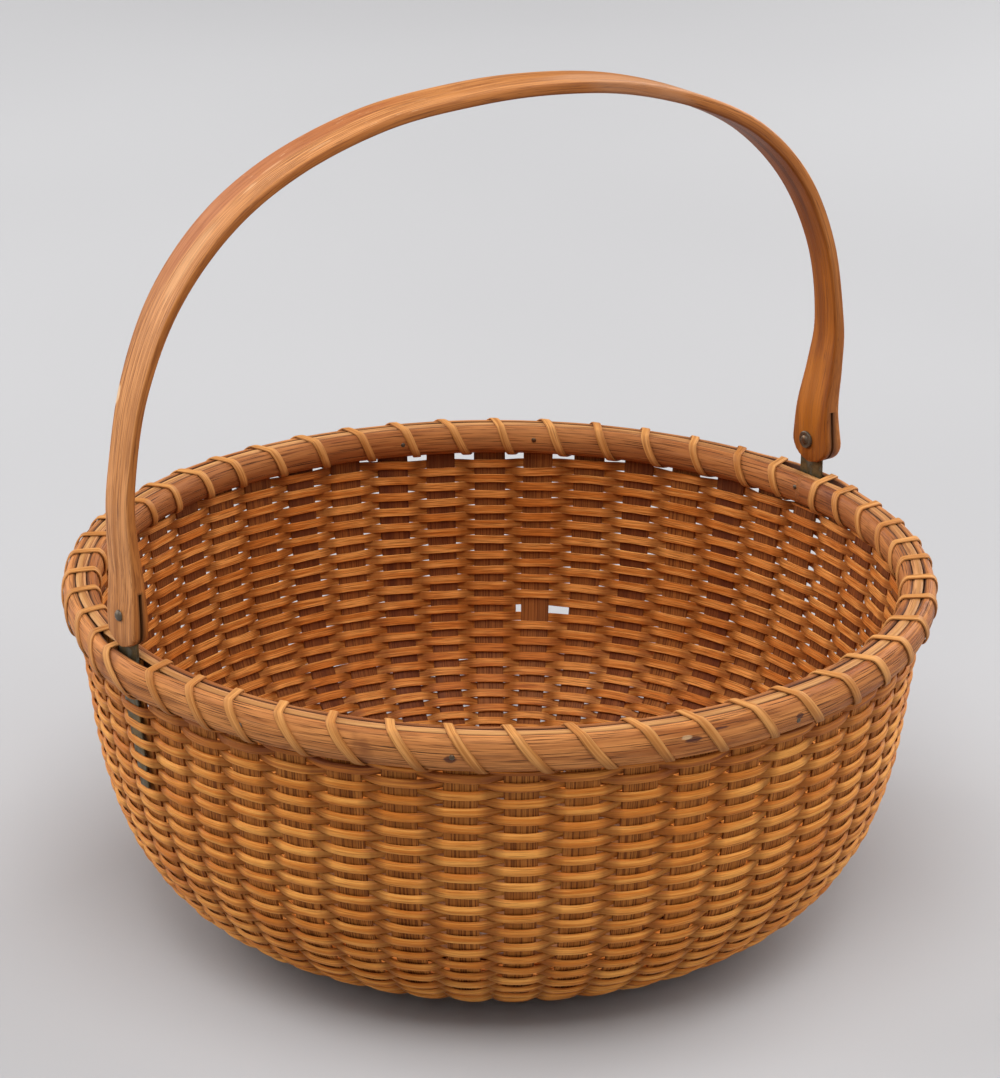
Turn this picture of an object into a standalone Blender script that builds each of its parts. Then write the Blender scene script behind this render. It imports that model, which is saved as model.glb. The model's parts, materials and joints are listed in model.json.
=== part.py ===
"""Round open basket woven over a turned wooden base, with a bent wooden swing handle on two brass ears.

Lengths are in metres. The origin is on the ground under the middle of the base and Z is up. The handle
stands upright and swings about a line along X that runs through both of its rivets.
"""

import math

import bmesh
import bpy
from mathutils import Vector

# Gap that is kept between pieces that touch.
CLEARANCE = 0.0003

# Turned base board with a groove round its edge for the feet of the staves.
BASE_RADIUS = 0.0650
BASE_THICKNESS = 0.0070
BASE_EDGE_CHAMFER = 0.0012
GROOVE_DEPTH = 0.0050
GROOVE_LEVEL = 0.0032
BASE_SEGMENTS = 49

# Staves, which stand in the groove and rise to the rim.
STAVE_COUNT = 49
STAVE_THICKNESS = 0.0018
STAVE_FOOT_WIDTH = 0.0060
STAVE_TOP_WIDTH = 0.0100

# Bowl, measured to the middle of a stave's thickness.
BOWL_RADIUS = 0.1388
RIM_TOP = 0.1192
# Curve of a stave from the edge of the base to the start of the straight wall: how far out and how far up.
BOWL_CURVE_SHARES = (
    (0.0, 0.0),
    (0.272, 0.022),
    (0.449, 0.075),
    (0.597, 0.161),
    (0.716, 0.267),
    (0.806, 0.393),
    (0.892, 0.566),
    (0.958, 0.782),
    (1.0, 1.0),
)
WALL_START_RADIUS_SHARE = 0.93
WALL_START_HEIGHT_SHARE = 0.607

# Weave: one closed wall that passes in front of and behind each stave in turn.
WEAVER_THICKNESS = 0.0013
CURVE_LEVELS = 5
WALL_LEVELS = 2
CURVE_STEPS = 24

# Rim hoops, half round, with their flat sides against the staves.
OUTER_RIM_HEIGHT = 0.0116
OUTER_RIM_THICKNESS = 0.0048
INNER_RIM_HEIGHT = 0.0104
INNER_RIM_THICKNESS = 0.0046
RIM_SEAT_DROP = 0.0013
RIM_FOOT_SHARE = 0.5
RIM_BELLY_SHARE = 0.5
RIM_CROWN_SHARE = 0.55
RIM_STEPS_PER_STAVE = 2

# Flat cane strip that lies on top between the two hoops.
FILLER_WIDTH = 0.0040
FILLER_FOOT_WIDTH = 0.0013
FILLER_THICKNESS = 0.0011

# Cane lashing, one turn to each gap between staves.
LASHING_WIDTH = 0.0032
LASHING_THICKNESS = 0.0007
LASHING_TOP_SHARE = 0.36
LASHING_BELLY_SHARE = 0.7

# Brass ears that carry the handle. Their tails run down outside one stave each.
EAR_WIDTH = 0.0114
EAR_THICKNESS = 0.0012
EAR_TAIL_WIDTH = 0.0086
EAR_TAIL_END_WIDTH = 0.0046
EAR_TAIL_END_GAP = 0.0030
EAR_TOP_STEPS = 6
PIVOT_RISE = 0.0133

# Bent handle: its centre line across the basket and up from the pivots, from the left end to the right.
HANDLE_RISE = 0.1464
HANDLE_LINE_SHARES = (
    (-1.0, 0.0),
    (-1.0, 0.085),
    (-1.008, 0.19),
    (-1.004, 0.30),
    (-0.966, 0.491),
    (-0.882, 0.671),
    (-0.744, 0.817),
    (-0.566, 0.916),
    (-0.337, 0.980),
    (-0.112, 0.9995),
    (0.112, 0.9965),
    (0.350, 0.966),
    (0.581, 0.897),
    (0.763, 0.805),
    (0.907, 0.665),
    (0.997, 0.488),
    (1.030, 0.30),
    (1.020, 0.19),
    (1.0, 0.085),
    (1.0, 0.0),
)
HANDLE_STATIONS = 30
PADDLE_WIDTH = 0.0174
PADDLE_THICKNESS = 0.0064
PADDLE_LENGTH = 0.0430
ARM_WIDTH = 0.0126
ARM_THICKNESS = 0.0044
GRIP_WIDTH = 0.0174
GRIP_THICKNESS = 0.0047
GRIP_START_SHARE = 0.6
HANDLE_CHAMFER = 0.0011
PADDLE_END_SHARES = (0.97, 0.86, 0.68, 0.4)
SLIT_RISE = 0.0120

# Rivets through the handle and the ears, with a burr peened on inside.
RIVET_RADIUS = 0.0012
RIVET_HEAD_RADIUS = 0.0019
RIVET_HEAD_HEIGHT = 0.0012
RIVET_HEAD_CROWN_SHARE = 0.6
BURR_RADIUS = 0.0031
BURR_THICKNESS = 0.0008
PEEN_RADIUS = 0.0017
PEEN_HEIGHT = 0.0006
RIVET_HOLE_CLEARANCE = 0.0003
RIVET_SIDES = 12

CUTTER_OVERRUN = 0.0020

# Colours as linear red, green and blue, then roughness and metallic.
OAK_BASE = ((0.42, 0.20, 0.07), 0.55, 0.0)
STAVE_OAK = ((0.40, 0.17, 0.055), 0.6, 0.0)
CANE = ((0.50, 0.22, 0.065), 0.5, 0.0)
RIM_WOOD = ((0.30, 0.13, 0.05), 0.5, 0.0)
PALE_CANE = ((0.55, 0.30, 0.12), 0.5, 0.0)
LASHING_CANE = ((0.50, 0.24, 0.08), 0.5, 0.0)
HANDLE_OAK = ((0.45, 0.20, 0.06), 0.4, 0.0)
AGED_BRASS = ((0.11, 0.10, 0.06), 0.55, 0.8)
DARK_BRONZE = ((0.06, 0.04, 0.025), 0.45, 0.9)

# Angle from one stave to the next. With an odd count the two staves that carry the ears stand half a
# pitch short of opposite, and the line through the rivets runs a little behind the middle.
PITCH = 2 * math.pi / STAVE_COUNT
EAR_STAVES = (0, STAVE_COUNT // 2)
EAR_TURN = STAVE_COUNT % 2 * PITCH / 4
FIRST_STAVE_ANGLE = EAR_TURN

STAVE_REACH = STAVE_THICKNESS / 2
STAVE_OUTER = BOWL_RADIUS + STAVE_REACH
STAVE_INNER = BOWL_RADIUS - STAVE_REACH
OUTER_RIM_INSIDE = STAVE_OUTER + CLEARANCE
INNER_RIM_OUTSIDE = STAVE_INNER - CLEARANCE
OUTER_RIM_BOTTOM = RIM_TOP - OUTER_RIM_HEIGHT
INNER_RIM_BOTTOM = RIM_TOP - INNER_RIM_HEIGHT
WEAVE_TOP = OUTER_RIM_BOTTOM - LASHING_THICKNESS - 3 * CLEARANCE
STAVE_TOP = RIM_TOP - FILLER_THICKNESS - CLEARANCE

PIVOT_HEIGHT = RIM_TOP + PIVOT_RISE
PIVOT_SIDE = BOWL_RADIUS * math.sin(EAR_TURN)
EAR_INSET = STAVE_REACH + STAVE_TOP_WIDTH / 2 * math.sin(EAR_TURN) + CLEARANCE
EAR_OUT = EAR_INSET + EAR_THICKNESS / 2
HALF_SPAN = BOWL_RADIUS * math.cos(EAR_TURN) + EAR_OUT
EAR_FAR_CORNER = math.hypot(HALF_SPAN + EAR_THICKNESS / 2, PIVOT_SIDE + EAR_WIDTH / 2)
RIM_SAG = BOWL_RADIUS * (1 - math.cos(PITCH / RIM_STEPS_PER_STAVE / 2))
EAR_SPREAD = EAR_FAR_CORNER + CLEARANCE + RIM_SAG - OUTER_RIM_INSIDE
FILLER_NOTCH = HALF_SPAN - EAR_THICKNESS / 2 - CLEARANCE - RIM_SAG
SLIT_WIDTH = EAR_THICKNESS + 2 * CLEARANCE


def material(name, look):
    """A plain shading for one sub-part."""
    colour, roughness, metallic = look
    result = bpy.data.materials.new(name)
    result.use_nodes = True
    shader = result.node_tree.nodes["Principled BSDF"]
    shader.inputs["Base Color"].default_value = (*colour, 1.0)
    shader.inputs["Roughness"].default_value = roughness
    shader.inputs["Metallic"].default_value = metallic
    result.diffuse_color = (*colour, 1.0)
    return result


def object_from(name, mesh, shading, parent=None, place=Vector((0, 0, 0))):
    """An object that holds the mesh, hung from its body's empty."""
    obj = bpy.data.objects.new(name, mesh)
    bpy.context.collection.objects.link(obj)
    obj.location = place
    if shading is not None:
        mesh.materials.append(shading)
    if parent is not None:
        obj.parent = parent
    return obj


def finish(shape, name, smooth=False):
    """Turn every face outwards and hand back the mesh."""
    bmesh.ops.recalc_face_normals(shape, faces=shape.faces)
    mesh = bpy.data.meshes.new(name)
    shape.to_mesh(mesh)
    shape.free()
    if smooth:
        mesh.shade_smooth()
        mesh.set_sharp_from_angle(angle=math.radians(35))
    return mesh


def loft(name, rings, closed=False, smooth=False):
    """Skin a row of rings that hold equally many points, capped at both ends unless the row is closed."""
    shape = bmesh.new()
    rows = [[shape.verts.new(point) for point in ring] for ring in rings]
    sides = len(rows[0])
    pairs = list(zip(rows, rows[1:]))
    if closed:
        pairs.append((rows[-1], rows[0]))
    for low, high in pairs:
        for i in range(sides):
            j = (i + 1) % sides
            shape.faces.new((low[i], low[j], high[j], high[i]))
    if not closed:
        shape.faces.new(rows[0])
        shape.faces.new(rows[-1])
    return finish(shape, name, smooth)


def turned(name, profile, segments, smooth=True):
    """A solid of revolution about Z. The profile's first and last points lie on the axis."""
    shape = bmesh.new()
    first = shape.verts.new((0, 0, profile[0][1]))
    last = shape.verts.new((0, 0, profile[-1][1]))
    rings = []
    for radius, height in profile[1:-1]:
        ring = []
        for i in range(segments):
            angle = 2 * math.pi * i / segments
            ring.append(shape.verts.new((radius * math.cos(angle), radius * math.sin(angle), height)))
        rings.append(ring)
    for i in range(segments):
        j = (i + 1) % segments
        shape.faces.new((first, rings[0][i], rings[0][j]))
        shape.faces.new((last, rings[-1][j], rings[-1][i]))
        for low, high in zip(rings, rings[1:]):
            shape.faces.new((low[i], high[i], high[j], low[j]))
    return finish(shape, name, smooth)


def smooth_line(points, share):
    """A place along a smooth curve through the points, at a share of its spans."""
    spans = len(points) - 1
    place = min(share * spans, spans - 1e-9)
    index = int(place)
    part = place - index
    before = points[max(index - 1, 0)]
    start = points[index]
    end = points[index + 1]
    after = points[min(index + 2, spans)]
    result = []
    for p, a, b, q in zip(before, start, end, after):
        bend = 2 * p - 5 * a + 4 * b - q
        turn = 3 * a - p - 3 * b + q
        result.append(a + (b - p) * part / 2 + bend * part**2 / 2 + turn * part**3 / 2)
    return tuple(result)


def even_steps(points, count):
    """Places at even distances along a smooth curve through the points, from end to end."""
    fine = count * CURVE_STEPS
    line = [Vector(smooth_line(points, i / fine)) for i in range(fine + 1)]
    run = [0.0]
    for a, b in zip(line, line[1:]):
        run.append(run[-1] + (b - a).length)
    result = []
    index = 0
    for step in range(count + 1):
        goal = run[-1] * step / count
        while index < fine - 1 and run[index + 1] < goal:
            index += 1
        part = (goal - run[index]) / (run[index + 1] - run[index])
        result.append(line[index].lerp(line[index + 1], min(part, 1.0)))
    return result


def bowl_knots():
    """Stave centre line from the edge of the base to the top of the weave, as radius and height."""
    wall_radius = BASE_RADIUS + (BOWL_RADIUS - BASE_RADIUS) * WALL_START_RADIUS_SHARE
    wall_height = GROOVE_LEVEL + (OUTER_RIM_BOTTOM - GROOVE_LEVEL) * WALL_START_HEIGHT_SHARE
    start_radius = BASE_RADIUS + CLEARANCE
    curve = []
    for out, up in BOWL_CURVE_SHARES:
        radius = start_radius + (wall_radius - start_radius) * out
        curve.append((radius, GROOVE_LEVEL + (wall_height - GROOVE_LEVEL) * up))
    knots = even_steps(curve, CURVE_LEVELS)
    part = (WEAVE_TOP - wall_height) / (OUTER_RIM_BOTTOM - wall_height)
    top = Vector((wall_radius + (BOWL_RADIUS - wall_radius) * part, WEAVE_TOP))
    for step in range(1, WALL_LEVELS + 1):
        knots.append(knots[CURVE_LEVELS].lerp(top, step / WALL_LEVELS))
    return knots


def knot_normals(knots):
    """Direction out of the bowl at each knot, square to the line through it."""
    normals = []
    for i in range(len(knots)):
        run = knots[min(i + 1, len(knots) - 1)] - knots[max(i - 1, 0)]
        normals.append(Vector((run.y, -run.x)).normalized())
    return normals


def stave_width(radius):
    """Staves narrow towards the base, where they stand closer together."""
    part = (radius - BASE_RADIUS) / (BOWL_RADIUS - BASE_RADIUS)
    return STAVE_FOOT_WIDTH + (STAVE_TOP_WIDTH - STAVE_FOOT_WIDTH) * max(part, 0.0)


def around(angle, radius, side, height):
    """A place in the upright plane at this angle, moved sideways along the wall."""
    out = Vector((math.cos(angle), math.sin(angle), 0))
    along = Vector((-math.sin(angle), math.cos(angle), 0))
    return out * radius + along * side + Vector((0, 0, height))


def stave_angle(index):
    return FIRST_STAVE_ANGLE + PITCH * index


def ear_swing(angle):
    """Turn from the nearest ear's stave to this angle, in pitches."""
    turns = [(angle - stave_angle(stave)) / PITCH for stave in EAR_STAVES]
    turns = [turn - STAVE_COUNT * round(turn / STAVE_COUNT) for turn in turns]
    return min(turns, key=abs)


def ear_spread(angle):
    """How far the outer hoop stands off where it goes round an ear."""
    reach = 1 / RIM_STEPS_PER_STAVE
    part = (3 * reach - abs(ear_swing(angle))) / (2 * reach)
    return EAR_SPREAD * min(max(part, 0.0), 1.0)


def outer_hoop_section(spread):
    inside = OUTER_RIM_INSIDE + spread
    foot = inside + OUTER_RIM_THICKNESS * RIM_FOOT_SHARE
    belly = inside + OUTER_RIM_THICKNESS
    crown = inside + OUTER_RIM_THICKNESS * RIM_CROWN_SHARE
    return (
        (inside, OUTER_RIM_BOTTOM),
        (foot, OUTER_RIM_BOTTOM),
        (belly, OUTER_RIM_BOTTOM + OUTER_RIM_HEIGHT * RIM_BELLY_SHARE),
        (crown, RIM_TOP),
        (inside, RIM_TOP - RIM_SEAT_DROP),
    )


def inner_hoop_section():
    foot = INNER_RIM_OUTSIDE - INNER_RIM_THICKNESS * RIM_FOOT_SHARE
    belly = INNER_RIM_OUTSIDE - INNER_RIM_THICKNESS
    crown = INNER_RIM_OUTSIDE - INNER_RIM_THICKNESS * RIM_CROWN_SHARE
    return (
        (INNER_RIM_OUTSIDE, INNER_RIM_BOTTOM),
        (foot, INNER_RIM_BOTTOM),
        (belly, INNER_RIM_BOTTOM + INNER_RIM_HEIGHT * RIM_BELLY_SHARE),
        (crown, RIM_TOP),
        (INNER_RIM_OUTSIDE, RIM_TOP - RIM_SEAT_DROP),
    )


def filler_section(angle):
    """Wedge shaped strip, cut back on its outer side where an ear stands."""
    outer = BOWL_RADIUS + FILLER_WIDTH / 2
    foot = BOWL_RADIUS + FILLER_FOOT_WIDTH / 2
    if abs(ear_swing(angle)) < 3 / 2 / RIM_STEPS_PER_STAVE:
        outer = FILLER_NOTCH
        foot = min(foot, FILLER_NOTCH)
    return (
        (BOWL_RADIUS - FILLER_FOOT_WIDTH / 2, RIM_TOP - FILLER_THICKNESS),
        (foot, RIM_TOP - FILLER_THICKNESS),
        (outer, RIM_TOP),
        (BOWL_RADIUS - FILLER_WIDTH / 2, RIM_TOP),
    )


def hoop(name, section_at):
    """A ring round the bowl whose section may change with the angle."""
    rings = []
    steps = STAVE_COUNT * RIM_STEPS_PER_STAVE
    for i in range(steps):
        angle = FIRST_STAVE_ANGLE + PITCH * i / RIM_STEPS_PER_STAVE
        rings.append([around(angle, radius, 0, height) for radius, height in section_at(angle)])
    return loft(name, rings, closed=True, smooth=True)


def lashing_line():
    """Corners of the lashing's route in one turn: how far round, radius, height and way out."""
    step = CLEARANCE + LASHING_THICKNESS / 2
    outer = outer_hoop_section(0.0)
    inner = inner_hoop_section()
    corners = (
        (0.0, inner[1][0], OUTER_RIM_BOTTOM),
        (LASHING_TOP_SHARE / 2, *inner[2]),
        (LASHING_TOP_SHARE, *inner[3]),
        (LASHING_TOP_SHARE, *outer[3]),
        (LASHING_BELLY_SHARE, *outer[2]),
        (1.0, *outer[1]),
    )
    route = []
    for i, (share, radius, height) in enumerate(corners):
        here = Vector((radius, height))
        before = Vector(corners[i - 1][1:])
        after = Vector(corners[(i + 1) % len(corners)][1:])
        arrive = (here - before).normalized()
        leave = (after - here).normalized()
        way = (Vector((-arrive.y, arrive.x)) + Vector((-leave.y, leave.x))).normalized()
        reach = 1 / way.dot(Vector((-leave.y, leave.x)))
        route.append((share, here + way * step * reach, way * reach, radius > BOWL_RADIUS))
    return route


def lashing_mesh():
    """One strip of cane wound round both hoops, through the gap beside each stave."""
    route = lashing_line()
    ear_room = (EAR_WIDTH / 2 + LASHING_WIDTH / 2 + 2 * CLEARANCE) / (BOWL_RADIUS * PITCH)
    rings = []
    for gap in range(STAVE_COUNT):
        for share, place, way, outside in route:
            angle = stave_angle(gap) + PITCH * (share + 0.5)
            if share == LASHING_TOP_SHARE and abs(ear_swing(angle)) < ear_room:
                angle -= PITCH * (ear_room + ear_swing(angle))
            spread = ear_spread(angle) if outside else 0.0
            thick = way * LASHING_THICKNESS / 2
            low = place - thick + Vector((spread, 0))
            high = place + thick + Vector((spread, 0))
            half = LASHING_WIDTH / 2
            rings.append(
                [
                    around(angle, low.x, -half, low.y),
                    around(angle, low.x, half, low.y),
                    around(angle, high.x, half, high.y),
                    around(angle, high.x, -half, high.y),
                ]
            )
    return loft("lashing", rings)


def stave_line(knots):
    """Centre line of a stave: foot in the groove, the curve of the bowl, then straight up to the rim."""
    foot = Vector((BASE_RADIUS - GROOVE_DEPTH + 2 * CLEARANCE, GROOVE_LEVEL))
    rim = Vector((BOWL_RADIUS, OUTER_RIM_BOTTOM))
    return [foot, *knots[: CURVE_LEVELS + 1], rim, Vector((BOWL_RADIUS, STAVE_TOP))]


def stave_rings(index, line):
    normals = knot_normals(line)
    normals[0] = Vector((0, -1))
    normals[-1] = Vector((1, 0))
    rings = []
    for place, normal in zip(line, normals):
        half = stave_width(place.x) / 2
        inner = place - normal * STAVE_REACH
        outer = place + normal * STAVE_REACH
        angle = stave_angle(index)
        rings.append(
            [
                around(angle, inner.x, -half, inner.y),
                around(angle, inner.x, half, inner.y),
                around(angle, outer.x, half, outer.y),
                around(angle, outer.x, -half, outer.y),
            ]
        )
    return rings


def weave_mesh(knots):
    """The woven wall. Each level passes outside one stave and inside the next."""
    normals = knot_normals(knots)
    slot = STAVE_REACH + CLEARANCE
    layers = (-slot - WEAVER_THICKNESS, -slot, slot, slot + WEAVER_THICKNESS)
    tail_room = EAR_INSET + EAR_THICKNESS - STAVE_REACH
    shape = bmesh.new()
    corner = {}
    for stave in range(STAVE_COUNT):
        for side in (0, 1):
            for level, (knot, normal) in enumerate(zip(knots, normals)):
                half = stave_width(knot.x) / 2 + CLEARANCE
                for layer, offset in enumerate(layers):
                    if stave in EAR_STAVES and layer > 1 and level >= CURVE_LEVELS:
                        offset += tail_room
                    place = knot + normal * offset
                    point = around(stave_angle(stave), place.x, half * (2 * side - 1), place.y)
                    corner[2 * stave + side, level, layer] = shape.verts.new(point)
    levels = len(knots) - 1
    columns = 2 * STAVE_COUNT

    def filled(column, level, layer):
        if not (0 <= level < levels and 0 <= layer < 3):
            return False
        if column % 2 == 1:
            return True
        front = (column // 2 + level) % 2 == 0
        return layer == (2 if front else 0)

    for column in range(columns):
        right = (column + 1) % columns
        for level in range(levels):
            for layer in range(3):
                if not filled(column, level, layer):
                    continue
                box = [
                    corner[side, up, deep]
                    for side in (column, right)
                    for up in (level, level + 1)
                    for deep in (layer, layer + 1)
                ]
                beside = (
                    ((column - 1) % columns, level, layer, (0, 1, 3, 2)),
                    (right, level, layer, (4, 6, 7, 5)),
                    (column, level - 1, layer, (0, 4, 5, 1)),
                    (column, level + 1, layer, (2, 3, 7, 6)),
                    (column, level, layer - 1, (0, 2, 6, 4)),
                    (column, level, layer + 1, (1, 5, 7, 3)),
                )
                for near_column, near_level, near_layer, face in beside:
                    if not filled(near_column, near_level, near_layer):
                        shape.faces.new([box[i] for i in face])
    unused = [vert for vert in shape.verts if not vert.link_faces]
    bmesh.ops.delete(shape, geom=unused, context="VERTS")
    return finish(shape, "weave")


def ear_mesh(name, end, knots):
    """Brass strap: a tapered tail outside its stave, then flat and upright to a round eye."""
    wall = knots[CURVE_LEVELS]
    slope = (BOWL_RADIUS - wall.x) / (OUTER_RIM_BOTTOM - wall.y)
    tail_end = wall.y + EAR_TAIL_END_GAP
    drop = OUTER_RIM_BOTTOM - tail_end
    stations = [
        (HALF_SPAN - slope * drop, tail_end, EAR_TAIL_END_WIDTH),
        (HALF_SPAN, OUTER_RIM_BOTTOM, EAR_TAIL_WIDTH),
        (HALF_SPAN, (OUTER_RIM_BOTTOM + RIM_TOP) / 2, EAR_WIDTH),
        (HALF_SPAN, PIVOT_HEIGHT, EAR_WIDTH),
    ]
    for step in range(1, EAR_TOP_STEPS):
        angle = math.pi / 2 * step / EAR_TOP_STEPS
        rise = EAR_WIDTH / 2 * math.sin(angle)
        stations.append((HALF_SPAN, PIVOT_HEIGHT + rise, EAR_WIDTH * math.cos(angle)))
    rings = []
    for out, height, width in stations:
        inner = (out - EAR_THICKNESS / 2) * end
        outer = (out + EAR_THICKNESS / 2) * end
        low = PIVOT_SIDE - width / 2
        high = PIVOT_SIDE + width / 2
        rings.append(
            [
                Vector((inner, low, height)),
                Vector((inner, high, height)),
                Vector((outer, high, height)),
                Vector((outer, low, height)),
            ]
        )
    return loft(name, rings)


def blend(low, high, part):
    """Eases from one size to another."""
    part = min(max(part, 0.0), 1.0)
    return low + (high - low) * part * part * (3 - 2 * part)


def handle_size(distance, length):
    """Width and thickness of the handle at a distance from its nearer pivot."""
    part = distance / PADDLE_LENGTH
    if part < 1:
        width = blend(PADDLE_WIDTH, ARM_WIDTH, part)
        return width, blend(PADDLE_THICKNESS, ARM_THICKNESS, part)
    part = (distance - PADDLE_LENGTH) / (length * GRIP_START_SHARE - PADDLE_LENGTH)
    return blend(ARM_WIDTH, GRIP_WIDTH, part), blend(ARM_THICKNESS, GRIP_THICKNESS, part)


def handle_mesh():
    """Bent bow with rounded edges and a round paddle at each end, about the line through the rivets."""
    points = [(across * HALF_SPAN, up * HANDLE_RISE) for across, up in HANDLE_LINE_SHARES]
    line = even_steps(points, HANDLE_STATIONS)
    steps = [(b - a).length for a, b in zip(line, line[1:])]
    half_length = sum(steps) / 2
    stations = []
    for share in PADDLE_END_SHARES:
        drop = PADDLE_WIDTH / 2 * share
        width = PADDLE_WIDTH * math.sqrt(1 - share * share)
        stations.append((Vector((line[0].x, -drop)), Vector((0, 1)), width, PADDLE_THICKNESS))
    for i, place in enumerate(line):
        run = line[min(i + 1, HANDLE_STATIONS)] - line[max(i - 1, 0)]
        if i in (0, HANDLE_STATIONS):
            run = Vector((0, 1 if i == 0 else -1))
        distance = min(sum(steps[:i]), sum(steps[i:]))
        stations.append((place, run.normalized(), *handle_size(distance, half_length)))
    for share in reversed(PADDLE_END_SHARES):
        drop = PADDLE_WIDTH / 2 * share
        width = PADDLE_WIDTH * math.sqrt(1 - share * share)
        stations.append((Vector((line[-1].x, -drop)), Vector((0, -1)), width, PADDLE_THICKNESS))
    rings = []
    for place, run, width, thickness in stations:
        out = Vector((-run.y, run.x))
        cut = min(HANDLE_CHAMFER, width / 4)
        half_width = width / 2
        half_thick = thickness / 2
        outline = (
            (-half_width + cut, -half_thick),
            (half_width - cut, -half_thick),
            (half_width, -half_thick + cut),
            (half_width, half_thick - cut),
            (half_width - cut, half_thick),
            (-half_width + cut, half_thick),
            (-half_width, half_thick - cut),
            (-half_width, -half_thick + cut),
        )
        ring = []
        for side, depth in outline:
            point = place + out * depth
            ring.append(Vector((point.x, side, point.y)))
        rings.append(ring)
    return loft("handle", rings, smooth=True)


def cutter(name, mesh, parent, place):
    """A shape that only cuts, kept out of renders and drawn as wires."""
    obj = object_from(name, mesh, None, parent, place)
    obj.hide_render = True
    obj.display_type = "WIRE"
    return obj


def cut(obj, tool):
    change = obj.modifiers.new(tool.name, "BOOLEAN")
    change.operation = "DIFFERENCE"
    change.solver = "EXACT"
    change.object = tool


def box_mesh(name, size, middle):
    shape = bmesh.new()
    bmesh.ops.create_cube(shape, size=1)
    bmesh.ops.scale(shape, vec=size, verts=shape.verts)
    bmesh.ops.translate(shape, vec=middle, verts=shape.verts)
    return finish(shape, name)


def bore_mesh(name, radius, length):
    """A round bore along X."""
    half = length / 2
    profile = ((0, -half), (radius, -half), (radius, half), (0, half))
    return along_x(turned(name, profile, RIVET_SIDES))


def along_x(mesh, end=1):
    """Turn a shape that stands on Z so that it points along X, outwards at this end."""
    for vert in mesh.vertices:
        x, y, z = vert.co
        vert.co = (z * end, y * end, -x)
    return mesh


def rivet_mesh(name, end):
    """Domed head outside the handle, shank through it, burr and peened end inside."""
    outside = PADDLE_THICKNESS / 2 + CLEARANCE
    crown = outside + RIVET_HEAD_HEIGHT
    shoulder = outside + RIVET_HEAD_HEIGHT * RIVET_HEAD_CROWN_SHARE
    burr = -outside - BURR_THICKNESS
    profile = (
        (0, burr - PEEN_HEIGHT),
        (PEEN_RADIUS * RIVET_HEAD_CROWN_SHARE, burr - PEEN_HEIGHT),
        (PEEN_RADIUS, burr),
        (BURR_RADIUS, burr),
        (BURR_RADIUS, -outside),
        (RIVET_RADIUS, -outside),
        (RIVET_RADIUS, outside),
        (RIVET_HEAD_RADIUS, outside),
        (RIVET_HEAD_RADIUS * RIVET_HEAD_CROWN_SHARE, shoulder),
        (0, crown),
    )
    return along_x(turned(name, profile, RIVET_SIDES), end)


def empty(name, place=Vector((0, 0, 0))):
    obj = bpy.data.objects.new(name, None)
    bpy.context.collection.objects.link(obj)
    obj.location = place
    return obj


def build_base(parent):
    groove = STAVE_THICKNESS / 2 + CLEARANCE
    profile = (
        (0, 0),
        (BASE_RADIUS, 0),
        (BASE_RADIUS, GROOVE_LEVEL - groove),
        (BASE_RADIUS - GROOVE_DEPTH, GROOVE_LEVEL - groove),
        (BASE_RADIUS - GROOVE_DEPTH, GROOVE_LEVEL + groove),
        (BASE_RADIUS, GROOVE_LEVEL + groove),
        (BASE_RADIUS, BASE_THICKNESS - BASE_EDGE_CHAMFER),
        (BASE_RADIUS - BASE_EDGE_CHAMFER, BASE_THICKNESS),
        (0, BASE_THICKNESS),
    )
    board = turned("base_board", profile, BASE_SEGMENTS)
    object_from("base_board", board, material("base_oak", OAK_BASE), parent)


def build_staves(parent, knots):
    shading = material("stave_oak", STAVE_OAK)
    line = stave_line(knots)
    for index in range(STAVE_COUNT):
        name = f"stave_{index + 1:02d}"
        object_from(name, loft(name, stave_rings(index, line)), shading, parent)


def build_rim(parent):
    wood = material("rim_wood", RIM_WOOD)
    outer = hoop("outer_rim", lambda angle: outer_hoop_section(ear_spread(angle)))
    inner = hoop("inner_rim", lambda angle: inner_hoop_section())
    object_from("outer_rim", outer, wood, parent)
    object_from("inner_rim", inner, wood, parent)
    filler = hoop("rim_filler", filler_section)
    object_from("rim_filler", filler, material("pale_cane", PALE_CANE), parent)
    object_from("lashing", lashing_mesh(), material("lashing_cane", LASHING_CANE), parent)


def build_ears(parent, knots):
    brass = material("aged_brass", AGED_BRASS)
    for side, end in (("right", 1), ("left", -1)):
        name = f"ear_{side}"
        ear = object_from(name, ear_mesh(name, end, knots), brass, parent)
        place = Vector((HALF_SPAN * end, PIVOT_SIDE, PIVOT_HEIGHT))
        length = EAR_THICKNESS + 2 * CUTTER_OVERRUN
        bore = bore_mesh(f"{name}_bore", RIVET_RADIUS + RIVET_HOLE_CLEARANCE, length)
        cut(ear, cutter(f"{name}_bore", bore, parent, place))


def build_handle(parent):
    handle = object_from("handle", handle_mesh(), material("handle_oak", HANDLE_OAK), parent)
    bronze = material("dark_bronze", DARK_BRONZE)
    fall = PADDLE_WIDTH / 2 + CUTTER_OVERRUN
    size = Vector((SLIT_WIDTH, PADDLE_WIDTH + 2 * CUTTER_OVERRUN, SLIT_RISE + fall))
    for side, end in (("right", 1), ("left", -1)):
        place = Vector((HALF_SPAN * end, 0, 0))
        slit = box_mesh(f"slit_{side}", size, Vector((0, 0, (SLIT_RISE - fall) / 2)))
        cut(handle, cutter(f"slit_{side}", slit, parent, place))
        length = PADDLE_THICKNESS + 2 * CUTTER_OVERRUN
        bore = bore_mesh(f"handle_bore_{side}", RIVET_RADIUS + RIVET_HOLE_CLEARANCE, length)
        cut(handle, cutter(f"handle_bore_{side}", bore, parent, place))
        object_from(f"rivet_{side}", rivet_mesh(f"rivet_{side}", end), bronze, parent, place)


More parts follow.
